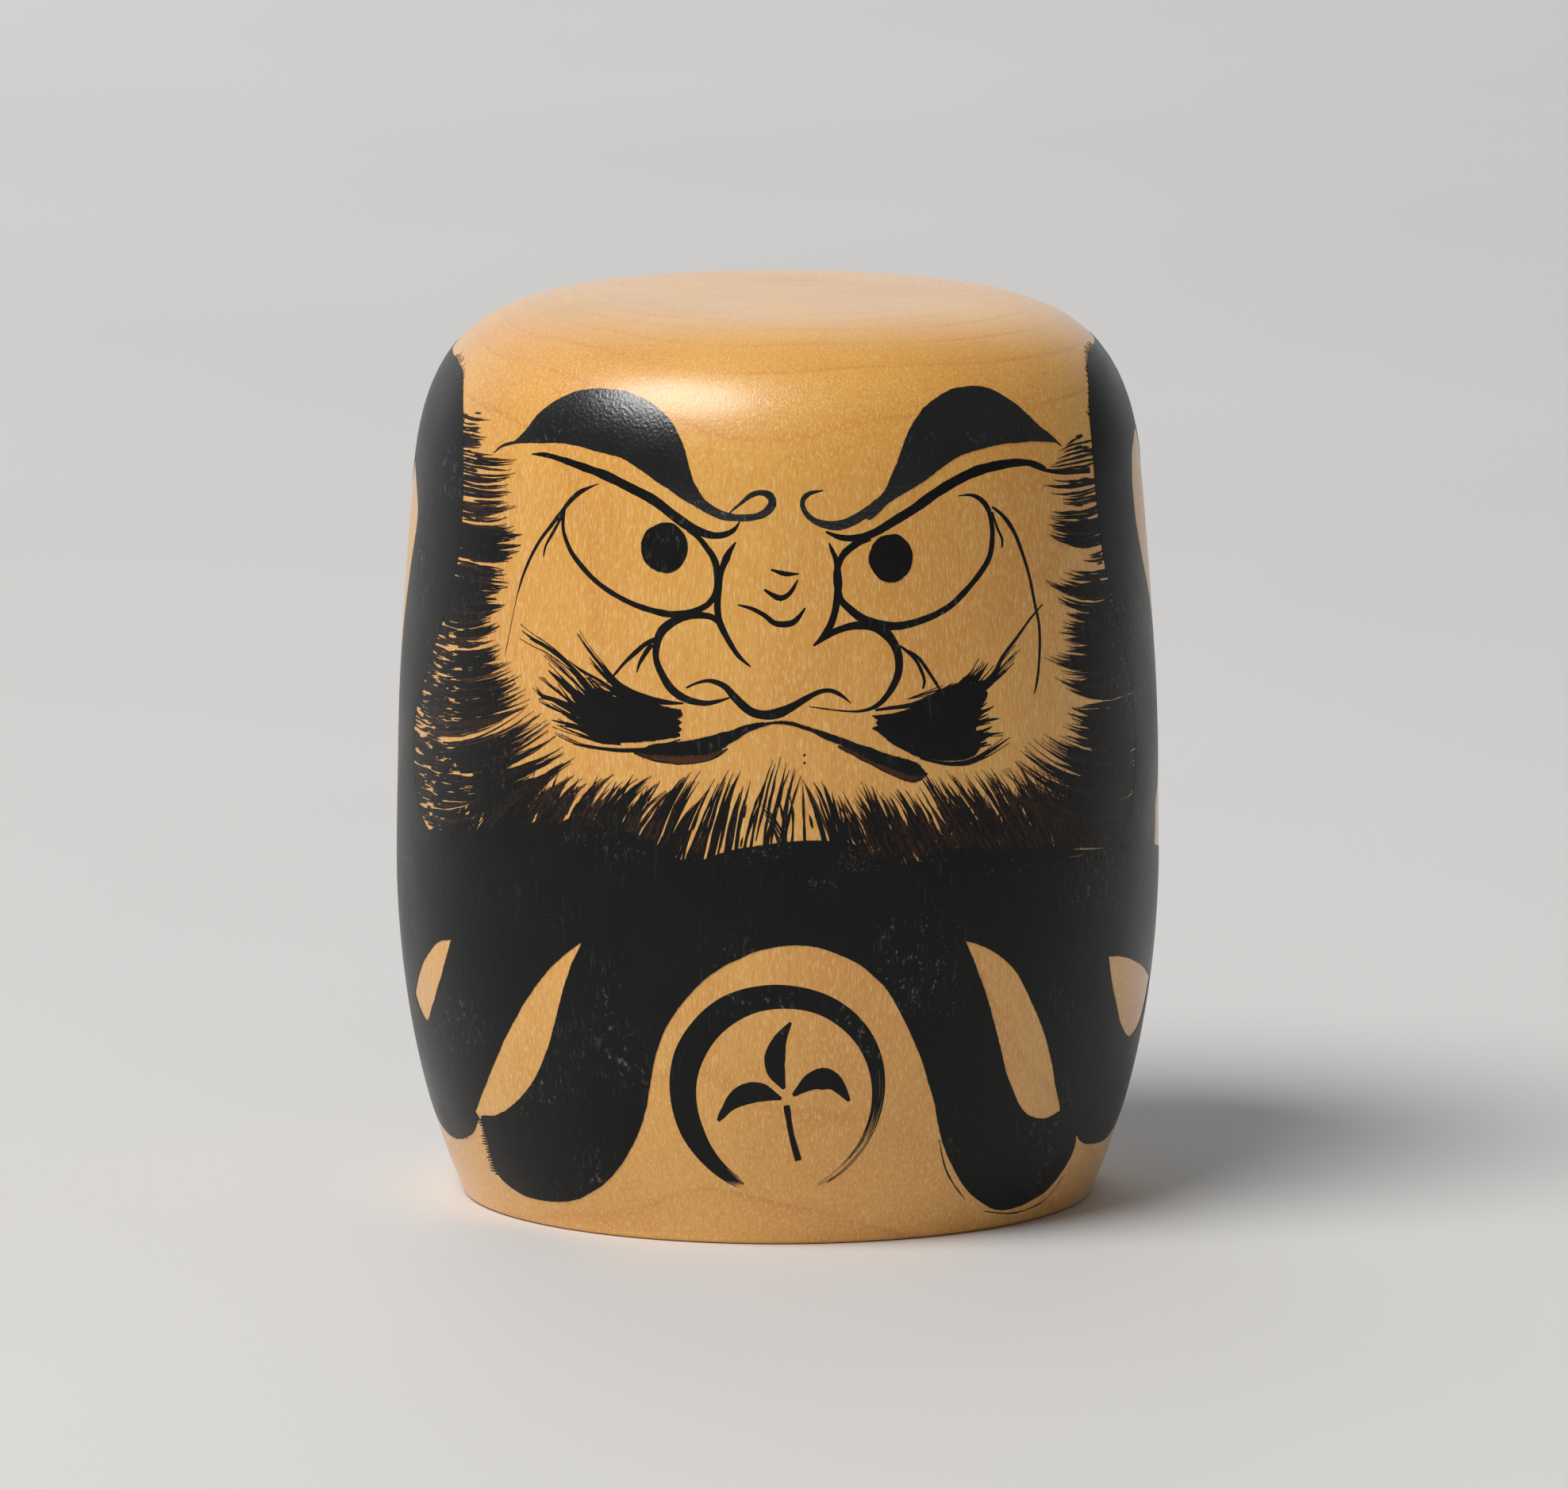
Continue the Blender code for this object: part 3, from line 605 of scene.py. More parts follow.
# Short hairs at the left sleeve's end: the lowest, the highest and the step between them
SLEEVE_FRAY = (5.6, 12.4, 0.33)
# Dry strokes along the hood's top corners: the edge, degrees from one to the next, how far the
# root and the tip lie round from the middle, rise of the middle, least and most rise of the tip
HOOD_CORNERS = [
    ([(-80, 99.8), (-70, 98.7), (-62, 93.2)], 0.8, -0.5, 0.4, 0.2, (0.5, 1.2)),
    ([(62, 94.8), (68.5, 99.4), (75, 101), (82, 101.2)], 0.9, 0.5, -0.5, 0.1, (0.2, 0.6)),
]
# Rubbed spots are thin films in the colour of worn ink, laid over the robe near the chest edge.
# Specks: ranges of azimuth and height, and how many
SCUFFS = [
    ((-33.8, -29.4), (47.2, 48.6), 26), ((9, 15.2), (45, 47.9), 60), ((4.4, 9), (43, 44.2), 22),
    ((19.5, 26), (45.6, 46.9), 22), ((30, 44), (43, 45.6), 14),
]
SCUFF_LINES = [
    [(49.8, 45.2, 0.1), (52, 45, 0.5), (54.5, 44.8, 0.62), (57.2, 44.6, 0.1)],
    [(48.6, 44.4, 0.06), (51, 44.3, 0.2), (52.6, 44.4, 0.06)],
]


def mirrored(points):
    """The same points on the other side of the face, in reverse order."""
    return [(-p[0],) + tuple(p[1:]) for p in reversed(points)]


def hem_lobe(start, end):
    """One scallop of the hem between two notches."""
    turns = np.linspace(0, math.pi, 9)
    share = np.linspace(0, 1, 9)
    return [(start + (end - start) * s, NOTCH_HEIGHT - LOBE_DROP * math.sin(t) ** 0.6)
            for s, t in zip(share, turns)]


def robe_edges(edges, rng):
    """Brushed edges of the robe, each without its last point, where the next one starts."""
    return [brushed(edge, rng, wobble=0.03, fray=0.015)[:-1] for edge in edges]


def hood_corner(film, edge, step, root, tip, middle, rises):
    """Short dry strokes that stand up along one top corner of the hood."""
    azimuths, heights = zip(*edge)
    for a in np.arange(azimuths[0], azimuths[-1], step):
        h = np.interp(a, azimuths, heights)
        film.line([(a + root, h - 0.6, 0.5), (a, h + middle, 0.35),
                   (a + tip, h + film.rng.uniform(*rises), 0.1)], density=film.rng.uniform(0.1, 0.6))


def rubbed_specks(film, azimuths, heights, count):
    """Tiny bare marks that lie every way."""
    rng = film.rng
    for _ in range(count):
        a, h = rng.uniform(*azimuths), rng.uniform(*heights)
        turn, reach = rng.uniform(0, math.tau), rng.uniform(0.08, 0.35)
        da, dh = math.cos(turn) * reach, math.sin(turn) * reach
        bow = rng.normal(size=2) * 0.08
        film.mark([(a - da, h - dh, 0.05), (a + bow[0], h + bow[1], rng.uniform(0.06, 0.16)),
                   (a + da, h + dh, 0.05)], WORN, SCUFF_LIFT)


def robe():
    """Hood and robe: one coat right round the doll, with the leaf-shaped gaps in it."""
    film = Film(11)
    rng = film.rng
    hem = [hem_lobe(a, b) for a, b in zip(HEM_NOTCHES, HEM_NOTCHES[1:])]
    above = [[(-180.0, HOOD_TOP), (-120.0, HOOD_TOP), (-95.0, 100.4), HOOD_LEFT[0]],
             HOOD_LEFT, CHEST_EDGE, HOOD_RIGHT,
             [HOOD_RIGHT[-1], (90.0, HOOD_TOP), (120.0, HOOD_TOP), (180.0, HOOD_TOP)]]
    below = [lobe[::-1] for lobe in reversed(hem[1:])] + [RIGHT_HEM, FRONT_HEM]
    below += [LEFT_GAP_LOW, LEFT_GAP_HIGH, [LEFT_GAP_HIGH[-1], (-57.3, NOTCH_HEIGHT)]]
    below += [mirrored(lobe)[::-1] for lobe in hem]
    # the two ends meet in a straight seam down the middle of the back
    outer = robe_edges(above, rng) + [[(180.0, HOOD_TOP)]]
    outer += robe_edges(below, rng) + [[(-180.0, NOTCH_HEIGHT)]]
    outlines = [np.concatenate(outer)]
    gaps = [(RIGHT_GAP_LOW, RIGHT_GAP_HIGH), (RIGHT_LEAF_FRONT, RIGHT_LEAF_BACK),
            (LEFT_LEAF_FRONT, LEFT_LEAF_BACK), (LEFT_SIDE_TOP, LEFT_SIDE_LOW),
            (RIGHT_SIDE_TOP, RIGHT_SIDE_LOW)]
    for shift in BACK_GAP_SHIFTS:
        top = [(a + shift, h) for a, h in NEXT_GAP_TOP]
        low = [(a + shift, h) for a, h in NEXT_GAP_LOW]
        gaps += [(top, low), (mirrored(low), mirrored(top))]
    outlines += [np.concatenate(robe_edges(halves, rng)) for halves in gaps]
    film.area(outlines, ROBE_LIFT)
    for points in ROBE_STRAYS:
        film.line(points, fray=0.2, density=0.7)
    for h in np.arange(*SLEEVE_FRAY):
        tip = -56.8 - rng.uniform(0.5, 1.5) / SHEET
        film.line([(-55.6, h, 0.35), (-56.5, h - 0.1, 0.3), (tip, h - 0.25, 0.1)], density=0.8)
    for corner in HOOD_CORNERS:
        hood_corner(film, *corner)
    for specks in SCUFFS:
        rubbed_specks(film, *specks)
    for points in SCUFF_LINES:
        film.mark(smooth_path(points, EDGE_CHORD), WORN, BARE_LIFT)
    film.piece("robe_ink", "ink_robe")


# ---------------------------------------------------------------- brows, eyes and nose

BROW_LEFT = [
    (-47.6, 92.7), (-45, 94.3), (-43, 96.4), (-40, 98), (-36.4, 99.2), (-32.6, 99.6), (-28.6, 99.7),
    (-24.9, 99.3), (-21.5, 98.5), (-18.2, 97), (-16.2, 95.4), (-14.8, 93.5), (-13.9, 91.5), (-13, 89.8),
    (-11.7, 88.3), (-10, 87.2), (-7.8, 86.4),
]
BROW_LEFT_UNDER = [
    (-7.8, 86.4), (-8.3, 85.7), (-10.7, 86.4), (-13.9, 87.6), (-16.9, 88.9), (-20, 90.3), (-23.2, 91.6),
    (-26.1, 92.4), (-29.9, 92.8), (-33.8, 93.3), (-37.9, 93.4), (-42, 93.1), (-47.6, 92.7),
]
BROW_RIGHT = [
    (51, 92.5), (47.7, 94.6), (44.8, 96.6), (42, 98.3), (38.6, 99.5), (35.3, 99.8), (31.1, 99.6),
    (26.8, 98.5), (23.8, 97.2), (21.6, 95.3), (19.8, 93), (18.1, 90.6), (16.6, 88.6), (14.8, 87.6),
    (13.1, 86.6),
]
BROW_RIGHT_UNDER = [
    (13.1, 86.6), (14.4, 85.6), (17.5, 87.5), (20.8, 88.7), (24.5, 90.2), (27.6, 91.5), (31.7, 92.6),
    (35.9, 93), (40.8, 93.2), (46.4, 93), (51, 92.5),
]

# Brush lines through (azimuth, height, width); each name is that of the CAD film they stand for
LINES = {
    "brow_left": [
        [(-51.5, 91.3, 0.15), (-50.1, 92.1, 0.33), (-48.3, 92.6, 0.38), (-45.2, 93.1, 0.33)],
        [
            (-11.4, 87.3, 1.2), (-8.8, 86.3, 0.95), (-6.2, 86, 0.8), (-3.7, 86.1, 0.76), (-1.9, 86.6, 1),
            (-0.8, 87.6, 1.05), (-1.1, 88.5, 0.9), (-2.5, 88.9, 0.62), (-4.1, 88.6, 0.6),
            (-5.6, 87.7, 0.38), (-6.9, 86.9, 0.24), (-7.6, 86.4, 0.14),
        ],
    ],
    "brow_right": [
        [(47.5, 94.2, 0.75), (49.6, 93.3, 0.6), (51.8, 92.1, 0.15)],
        [
            (14.6, 86.8, 1.2), (12, 85.7, 1.1), (9.7, 85.1, 1.1), (7.4, 85.2, 0.9), (5.4, 85.8, 0.7),
            (4.1, 86.9, 0.65), (3.9, 88, 0.65), (5, 88.8, 0.5), (7.1, 89.1, 0.15),
        ],
    ],
    "eyelid_left": [
        [
            (-42.7, 91.8, 0.1), (-39.9, 91.9, 0.5), (-36.6, 91.6, 0.65), (-32.5, 91, 0.85),
            (-28, 90.2, 1), (-23.6, 89, 1.1), (-19.5, 87.7, 1.15), (-16.1, 86, 1.15), (-13.5, 84.8, 1.05),
            (-10.6, 84, 0.86), (-8.4, 84, 0.7), (-6.7, 84.6, 0.48), (-5.8, 85.6, 0.12),
        ],
    ],
    "eyelid_right": [
        [
            (47.2, 89.8, 0.5), (45.1, 90.5, 0.65), (41.9, 90.9, 0.85), (38, 90.9, 1.1), (33.3, 90.5, 1.2),
            (29.3, 89.6, 1.2), (25.4, 88.3, 1.15), (21.7, 86.7, 1.1), (18.1, 85.3, 1.05),
            (15, 84.1, 0.95), (12.3, 83.6, 0.75), (9.7, 83.7, 0.65), (7.4, 84.4, 0.2),
        ],
        [(43.7, 90.5, 0.3), (46.9, 89.7, 0.4), (51.4, 89.1, 0.55), (58.8, 88.7, 0.6)],
    ],
    "eye_left": [
        [
            (-35.2, 86.1, 0.55), (-35.2, 83.9, 0.47), (-34.4, 82.3, 0.55), (-32.7, 80.5, 0.6),
            (-28.4, 77.8, 0.6), (-22.9, 75.8, 0.6), (-17.6, 74.8, 0.73), (-14.7, 74.8, 0.73),
            (-12.2, 75.3, 0.65), (-10.3, 76.2, 0.75), (-9.2, 77.9, 0.75), (-9.5, 80.8, 0.8),
            (-11.2, 82.8, 0.65), (-12.5, 83.8, 0.57), (-13.9, 84.5, 0.5),
        ],
    ],
    "eye_right": [
        [
            (29.3, 87.8, 0.1), (31.4, 87.8, 0.28), (33.1, 87.3, 0.55), (34.5, 86.2, 0.7),
            (35.1, 84.7, 0.65), (35.2, 83, 0.7), (34.5, 80.6, 0.7), (32.3, 78.5, 0.7), (28.2, 75.8, 0.75),
            (25.4, 74.6, 0.8), (22.3, 73.8, 0.86), (18.8, 73.3, 0.95), (15.6, 73.5, 1.08),
            (13.1, 74.2, 1.08), (10.9, 75.5, 0.86), (9.5, 76.8, 0.75), (9, 79.4, 0.8), (10, 81.6, 0.78),
            (12.3, 83, 0.85), (14.3, 83.7, 1),
        ],
    ],
    "temple_line_left": [
        [
            (-29.1, 89.2, 0.1), (-30.4, 88.8, 0.24), (-32.5, 88, 0.6), (-34.3, 86.8, 0.57),
            (-35.7, 85.5, 0.53), (-37.5, 83.9, 0.48), (-39.4, 82.2, 0.46), (-41.1, 80.2, 0.42),
            (-42.6, 77.8, 0.35), (-43.5, 75.7, 0.15),
        ],
        [(-35.3, 85.4, 0.3), (-37, 83.2, 0.42), (-38.3, 81.6, 0.3), (-38.7, 80.2, 0.12)],
        [(-43.5, 75.9, 0.1), (-44.2, 73.5, 0.09), (-45, 70.5, 0.09), (-45.6, 68.3, 0.08)],
    ],
    "temple_line_right": [
        [
            (35.4, 86.2, 0.25), (37.2, 85.2, 0.5), (38.8, 83.8, 0.55), (40.1, 82, 0.5),
            (41.9, 78.2, 0.42), (42.9, 74.5, 0.4), (43.5, 72.4, 0.43), (43.6, 70.3, 0.43),
            (43.2, 67.5, 0.39), (42.6, 65.3, 0.34), (42, 64.1, 0.17),
        ],
        [(35.4, 85.6, 0.25), (36.1, 83.9, 0.35), (37, 82.4, 0.35), (36.9, 81.4, 0.25)],
    ],
    "nose_bridge_left": [
        [
            (-6.4, 83.2, 0.1), (-7.1, 82.4, 0.5), (-7.8, 81.4, 0.8), (-8.7, 79.4, 0.7),
            (-9.1, 76.3, 0.85), (-9, 74.9, 0.77), (-8.6, 73.7, 0.73), (-7.3, 71.8, 0.65),
            (-5.8, 70.1, 0.5), (-4, 68.9, 0.11),
        ],
    ],
    "nose_bridge_right": [
        [
            (7.9, 83.1, 0.15), (8.4, 82.2, 0.45), (9, 81, 0.65), (9.3, 78.8, 0.9), (9, 76.4, 0.85),
            (8.6, 74.9, 0.82), (7.9, 73.5, 0.86), (6.7, 72.2, 0.65), (5.6, 71.4, 0.22),
        ],
    ],
    "nose_wing_left": [
        [
            (-8.9, 73.9, 0.5), (-9.8, 74.5, 0.66), (-11.1, 74.7, 0.73), (-13.3, 74.7, 0.95),
            (-15.6, 74, 0.99), (-17.6, 72.8, 1.05), (-18.4, 71.3, 0.86), (-18.5, 69.6, 0.82),
            (-17.7, 68, 0.86), (-16, 66.1, 0.95), (-13.7, 65, 0.86), (-10.9, 64.6, 0.65),
            (-8.7, 64.9, 0.39), (-6.8, 65.4, 0.13),
        ],
    ],
    "nose_wing_right": [
        [
            (5.4, 71.3, 0.2), (6.9, 72.2, 0.73), (8.6, 72.9, 0.77), (11.4, 73.5, 0.86),
            (14.2, 73.4, 0.95), (16.5, 72.5, 1.2), (18, 70.9, 1.08), (18.5, 69.2, 0.99),
            (18.2, 67.5, 0.95), (16.9, 65.7, 0.73), (15.1, 64.3, 0.56), (12.9, 63.7, 0.34),
            (10.1, 63.7, 0.22), (4.7, 64.3, 0.09),
        ],
    ],
    "nose_wrinkle_top": [[(-1, 80.1, 0.2), (1.2, 79.6, 0.56), (3.3, 79.6, 0.12)]],
    "nose_wrinkle_middle": [
        [(-2, 77.8, 0.25), (-0.8, 77.2, 0.5), (0.5, 76.8, 0.7), (1.9, 77.4, 0.5), (3.1, 78.9, 0.14)],
    ],
    "nose_wrinkle_bottom": [
        [
            (-6, 76, 0.17), (-3.9, 75.6, 0.43), (-1.9, 74.8, 0.52), (-0.6, 74, 0.6), (0.8, 73.8, 0.72),
            (2.3, 74, 0.7), (3.4, 74.8, 0.47), (4.2, 75.7, 0.13),
        ],
    ],
    "lip_line": [
        [
            (-13.7, 66.3, 0.2), (-12.1, 66.9, 0.34), (-10.1, 67.2, 0.47), (-7.9, 66.6, 0.73),
            (-6.3, 65.3, 0.95), (-4.1, 63.8, 1), (-1.9, 63.35, 1.1), (0.2, 63.6, 1.2), (2.2, 64.3, 1),
            (4.4, 65.3, 0.7), (6.3, 66, 0.55), (8, 66.1, 0.5), (9.6, 65.5, 0.42), (11, 64.6, 0.09),
        ],
    ],
    "temple_fold_right": [
        [
            (44.5, 74.3, 0.17), (41.6, 72.7, 0.3), (38.9, 70.8, 0.4), (36, 68.7, 0.52), (34.6, 67, 0.73),
            (32.9, 65.9, 0.9),
        ],
    ],
    "cheek_fold_left": [
        [
            (-18.1, 71.9, 0.52), (-20.1, 71.2, 0.56), (-21.8, 70.1, 0.52), (-23.6, 68.8, 0.39),
            (-24.7, 67.8, 0.3), (-26.3, 66.4, 0.2),
        ],
        [(-19.2, 71.2, 0.65), (-20.1, 70.2, 0.52), (-21.1, 68.9, 0.4), (-21.5, 67.8, 0.13)],
    ],
    "cheek_fold_right": [
        [
            (18.7, 71, 0.26), (20.7, 69.7, 0.42), (21.8, 68.4, 0.42), (22.5, 66.8, 0.36),
            (22.2, 65.9, 0.22),
        ],
        [(19.9, 70.4, 0.25), (21.6, 69.5, 0.36), (23.3, 67.7, 0.4), (25.3, 65.3, 0.28)],
    ],
}
# azimuth, height and radius
PUPILS = {"pupil_left": (-17.6, 82.3, 2.95), "pupil_right": (17.6, 81.1, 2.85)}


def spot(film, azimuth, height, radius, steps=80):
    """A round spot with a slightly uneven edge."""
    turns = np.linspace(0, math.tau, steps, endpoint=False)
    uneven = drift(film.rng, steps, 6) * 0.05 + film.rng.normal(size=steps) * 0.02
    uneven -= (uneven[-1] - uneven[0]) * np.linspace(0, 1, steps)
    reach = radius + uneven
    film.area([np.stack([azimuth + reach * np.cos(turns) / SHEET,
                         height + reach * np.sin(turns)], axis=1)])


def face_lines():
    """Brows, eyes, nose and wrinkles."""
    fills = {"brow_left": (BROW_LEFT, BROW_LEFT_UNDER), "brow_right": (BROW_RIGHT, BROW_RIGHT_UNDER)}
    for number, (name, lines) in enumerate(LINES.items()):
        film = Film(100 + number)
        if name in fills:
            film.area([np.concatenate([brushed(edge, film.rng)[:-1] for edge in fills[name]])])
        for points in lines:
            film.line(points)
        film.piece(name + "_ink", "ink_" + name, ink=THICK_INK if name in fills else INK)
    for number, (name, (azimuth, height, radius)) in enumerate(PUPILS.items()):
        film = Film(150 + number)
        spot(film, azimuth, height, radius)
        film.piece(name + "_ink", "ink_" + name)


# ---------------------------------------------------------------- mouth and moustache

MOUTH_TOP = [
    (-22.1, 58.6), (-20.4, 59.1), (-18.7, 59.6), (-15, 60), (-10.9, 60.7), (-7.6, 61.4), (-4.1, 62.3),
    (-1.1, 62.6), (2, 62.6), (4.7, 61.9), (8.5, 61), (12.6, 59.7), (16.7, 58.5), (19.6, 57.8),
    (21.6, 57.1), (22.6, 56),
]
MOUTH_LOW = [
    (22.6, 56), (21.3, 55.9), (19.5, 56.1), (17.3, 56.8), (14.5, 57.7), (12.3, 58.6), (10.1, 59.5),
    (7.1, 60.5), (4.4, 61.5), (1.7, 62.2), (-1.1, 62.2), (-4.1, 61.4), (-6.5, 60.2), (-8.7, 59.2),
    (-11.4, 58.6), (-14.4, 58.4), (-16.9, 58.4), (-19.2, 58.4), (-22.1, 58.6),
]
# Under-edges of the mouth where the ink is thin, and where the ends of bristle marks lie on them
MOUTH_THIN = [
    [
        (-7.4, 59.3), (-9.4, 58.2), (-11.4, 57.7), (-14.4, 57.4), (-16.4, 57.5), (-19, 57.7),
        (-21.8, 58.5), (-19, 59.2), (-13, 59.3),
    ],
    [
        (22.7, 56), (21.5, 55.3), (19.9, 55.2), (17.2, 56), (14.6, 57.1), (11.9, 58.2), (9, 59.6),
        (12, 59.3), (18, 57.3),
    ],
]
MOUTH_DRY = [((-20.3, -9.2), (57.7, 58.3)), ((10.5, 21.6), (58.9, 55.3))]
MOUTH_BRISTLES = 28

MOUSTACHE_CORES = {
    "moustache_left": [
        (-14.5, 63.8), (-14.2, 63), (-15, 62.7), (-14.3, 62.3), (-14.9, 61.9), (-14.3, 61.5),
        (-14.9, 61.1), (-14.5, 60.7), (-17.5, 60.2), (-21.6, 59.7), (-25.4, 59.6), (-28.2, 60.2),
        (-30, 61.2), (-31, 62.3), (-31.2, 63.6), (-30, 64.5), (-28.2, 65.1), (-26.1, 65.4), (-24.4, 65.8),
        (-22.9, 65.6), (-19.7, 64.7), (-16.5, 64),
    ],
    "moustache_right": [
        (14.1, 63.1), (15.1, 62.5), (14.7, 62.2), (15.1, 61.9), (14.2, 61.6), (15.1, 61.1), (16.8, 60),
        (19, 58.9), (21.3, 58.1), (24.2, 57.5), (27.8, 57.3), (30.3, 57.6), (31.6, 58.6), (31.3, 60.1),
        (30.8, 61.4), (31.4, 62.7), (32.4, 63.6), (33.1, 64.9), (31.2, 65.2), (27.4, 65.2), (24.4, 64.7),
        (21.4, 64), (18, 63.3), (15.1, 63.1),
    ],
}
# Bare slits that the bristles left in the cores
MOUSTACHE_SLITS = {
    "moustache_left": [
        [(-23.6, 64.9), (-26.4, 64.8), (-28, 64.3), (-26.2, 65.05)],
        [(-20.6, 64.3), (-23.2, 64.2), (-20.4, 64.5)],
    ],
    "moustache_right": [[(22, 63.6), (25.6, 64.2), (22.2, 63.8)]],
}
# Fine hairs at the cores' ragged sides: from and to (azimuth, height), lean in azimuth and height, count
MOUSTACHE_FRAY = {
    "moustache_left": [
        ((-28.5, 60.1), (-31, 63), (-5, 1), 26), ((-31, 63), (-26, 65.2), (-4.5, 2.6), 26),
        ((-26, 65.2), (-20, 64.6), (-4.2, 1.7), 20),
    ],
    "moustache_right": [
        ((20, 63.6), (32.5, 65.2), (3.4, 1.6), 26), ((30.8, 58.6), (30.6, 63.4), (3.6, 0.5), 26),
    ],
}
MOUSTACHE_HAIRS = {
    "moustache_left": [
        [
            (-14.1, 64.5, 0.17), (-15.9, 64.5, 0.47), (-18.8, 64.7, 0.8), (-21.7, 65.3, 0.85),
            (-24.7, 66.4, 0.65), (-27.8, 68.6, 0.39), (-30.1, 70.3, 0.22), (-31.8, 71.8, 0.08),
        ],
        [
            (-19.9, 64.1, 0.65), (-23.5, 65.2, 0.5), (-25.9, 66.6, 0.4), (-28.1, 68.1, 0.26),
            (-29.4, 69.1, 0.09),
        ],
        [
            (-21.7, 64, 0.43), (-25, 65.5, 0.39), (-27.7, 66.6, 0.34), (-30.9, 67.6, 0.3),
            (-33.1, 68.6, 0.09),
        ],
        [
            (-25.8, 63.8, 1.08), (-28.6, 64.9, 0.99), (-30.9, 66.7, 0.7), (-33.6, 68.4, 0.5),
            (-37, 69.8, 0.45), (-39.9, 70.6, 0.3), (-42.3, 71.4, 0.09),
        ],
        [
            (-24.6, 62.6, 1.5), (-29.2, 63.6, 1.5), (-32.4, 65.1, 1), (-35.1, 66.4, 0.5),
            (-36.8, 67.2, 0.09),
        ],
        [
            (-24.6, 61.8, 1.72), (-29.1, 62.2, 1.5), (-32.7, 63.2, 1), (-35.7, 63.9, 0.5),
            (-37.8, 64.1, 0.35), (-39, 64.9, 0.09),
        ],
        [
            (-23.9, 60.1, 1.29), (-28.2, 60.3, 1), (-31.3, 61, 0.52), (-33.9, 61.3, 0.3),
            (-35.9, 61.5, 0.09),
        ],
        [(-23.9, 59.6, 0.8), (-27.5, 59.6, 0.5), (-30, 60, 0.3), (-32.6, 60.5, 0.17), (-34.9, 61, 0.08)],
        [
            (-14.5, 60.3, 0.2), (-16.7, 59.7, 0.28), (-19.8, 59, 0.39), (-23.3, 58.7, 0.47),
            (-26.3, 58.7, 0.39), (-29, 58.8, 0.26), (-31.9, 59.1, 0.17), (-35.2, 59.9, 0.08),
        ],
        [(-30, 62.8, 0.6), (-33.4, 64.2, 0.3), (-36, 65.3, 0.2), (-38, 66.2, 0.08)],
        [(-29, 61.2, 0.5), (-33, 62.3, 0.3), (-36, 62.9, 0.2), (-38.4, 63.5, 0.08)],
        [(-28.8, 64.3, 0.5), (-32.2, 66.3, 0.25), (-34.5, 67.6, 0.2), (-37.4, 69, 0.08)],
    ],
    "moustache_right": [
        [
            (14.7, 63.7, 0.3), (17.4, 63.9, 0.45), (20.3, 64.1, 0.55), (23.2, 64.7, 0.75),
            (26.8, 65.4, 1.08), (30.3, 65.5, 1.08), (32.9, 65.9, 0.99), (34.6, 67, 0.7),
        ],
        [(28.7, 64.5, 1.29), (31.9, 65.2, 0.86), (34.2, 66.1, 0.5), (35.9, 66.8, 0.26), (38.2, 68, 0.08)],
        [(25.5, 64.6, 0.8), (28, 65.9, 0.5), (30.2, 67.4, 0.08)],
        [(27, 64.5, 0.9), (29.5, 66.2, 0.5), (31.8, 68, 0.08)],
        [(29, 64.8, 0.9), (31.4, 66.5, 0.5), (33.4, 68.3, 0.08)],
        [(30.5, 65.2, 0.5), (33.6, 66.3, 0.3), (35.4, 67.4, 0.2), (38.8, 69.3, 0.08)],
        [(25.6, 65.1, 0.65), (28.1, 65.8, 0.5), (30, 66.5, 0.3), (31.8, 67.3, 0.09)],
        [(24.1, 65.2, 0.3), (25.6, 65.7, 0.25), (27.2, 66.3, 0.09)],
        [(27, 65.3, 0.4), (29, 66.2, 0.25), (30.6, 67, 0.09)],
        [(28.6, 62.4, 1.29), (31.1, 62.5, 0.86), (32.7, 62.8, 0.3), (34.2, 63.2, 0.09)],
        [(28.5, 61.1, 1.29), (31.1, 61.3, 0.65), (33, 61.6, 0.26), (35, 61.8, 0.08)],
        [(29.1, 59.8, 1.29), (31.7, 59.9, 0.8), (33.6, 60, 0.3), (35.8, 60, 0.08)],
        [
            (21.6, 57.9, 0.22), (24.2, 57.3, 0.35), (26.9, 57, 0.4), (29.7, 57.1, 0.5), (32.6, 57.8, 0.5),
            (34.9, 58.6, 0.3), (37, 59.4, 0.08),
        ],
        [(19.7, 64.8, 0.08), (21.5, 65.1, 0.15), (23.8, 65.5, 0.2), (25.6, 65.7, 0.15)],
    ],
}


def mouth():
    """The mouth: a thin line between two thick ends whose under-edges ran dry."""
    film = Film(200)
    rng = film.rng
    edges = [brushed(edge, rng, FINE_CHORD)[:-1] for edge in (MOUTH_TOP, MOUTH_LOW)]
    film.area([np.concatenate(edges)])
    for outline in MOUTH_THIN:
        film.area([brushed(outline + outline[:1], rng, FINE_CHORD)[:-1]], THIN_LIFT, 0.22)
        film.line([(a, h + 0.1, 0.2) for a, h in outline[:7]], fray=0.3, density=0.8)
    for azimuths, heights in MOUTH_DRY:
        along = np.linspace(*azimuths, MOUTH_BRISTLES) + rng.normal(size=MOUTH_BRISTLES) * 0.12
        for a in along:
            low = np.interp(a, azimuths, heights) + rng.normal() * 0.12
            points = [(a, low + 1.2, 0.22), (a + rng.normal() * 0.08, low + 0.5, 0.2), (a, low, 0.08)]
            path = smooth_path(points, FINE_CHORD)
            film.mark(path, np.linspace(0.8, rng.uniform(0.0, 0.5), len(path)))
    film.piece("mouth_ink", "ink_mouth")


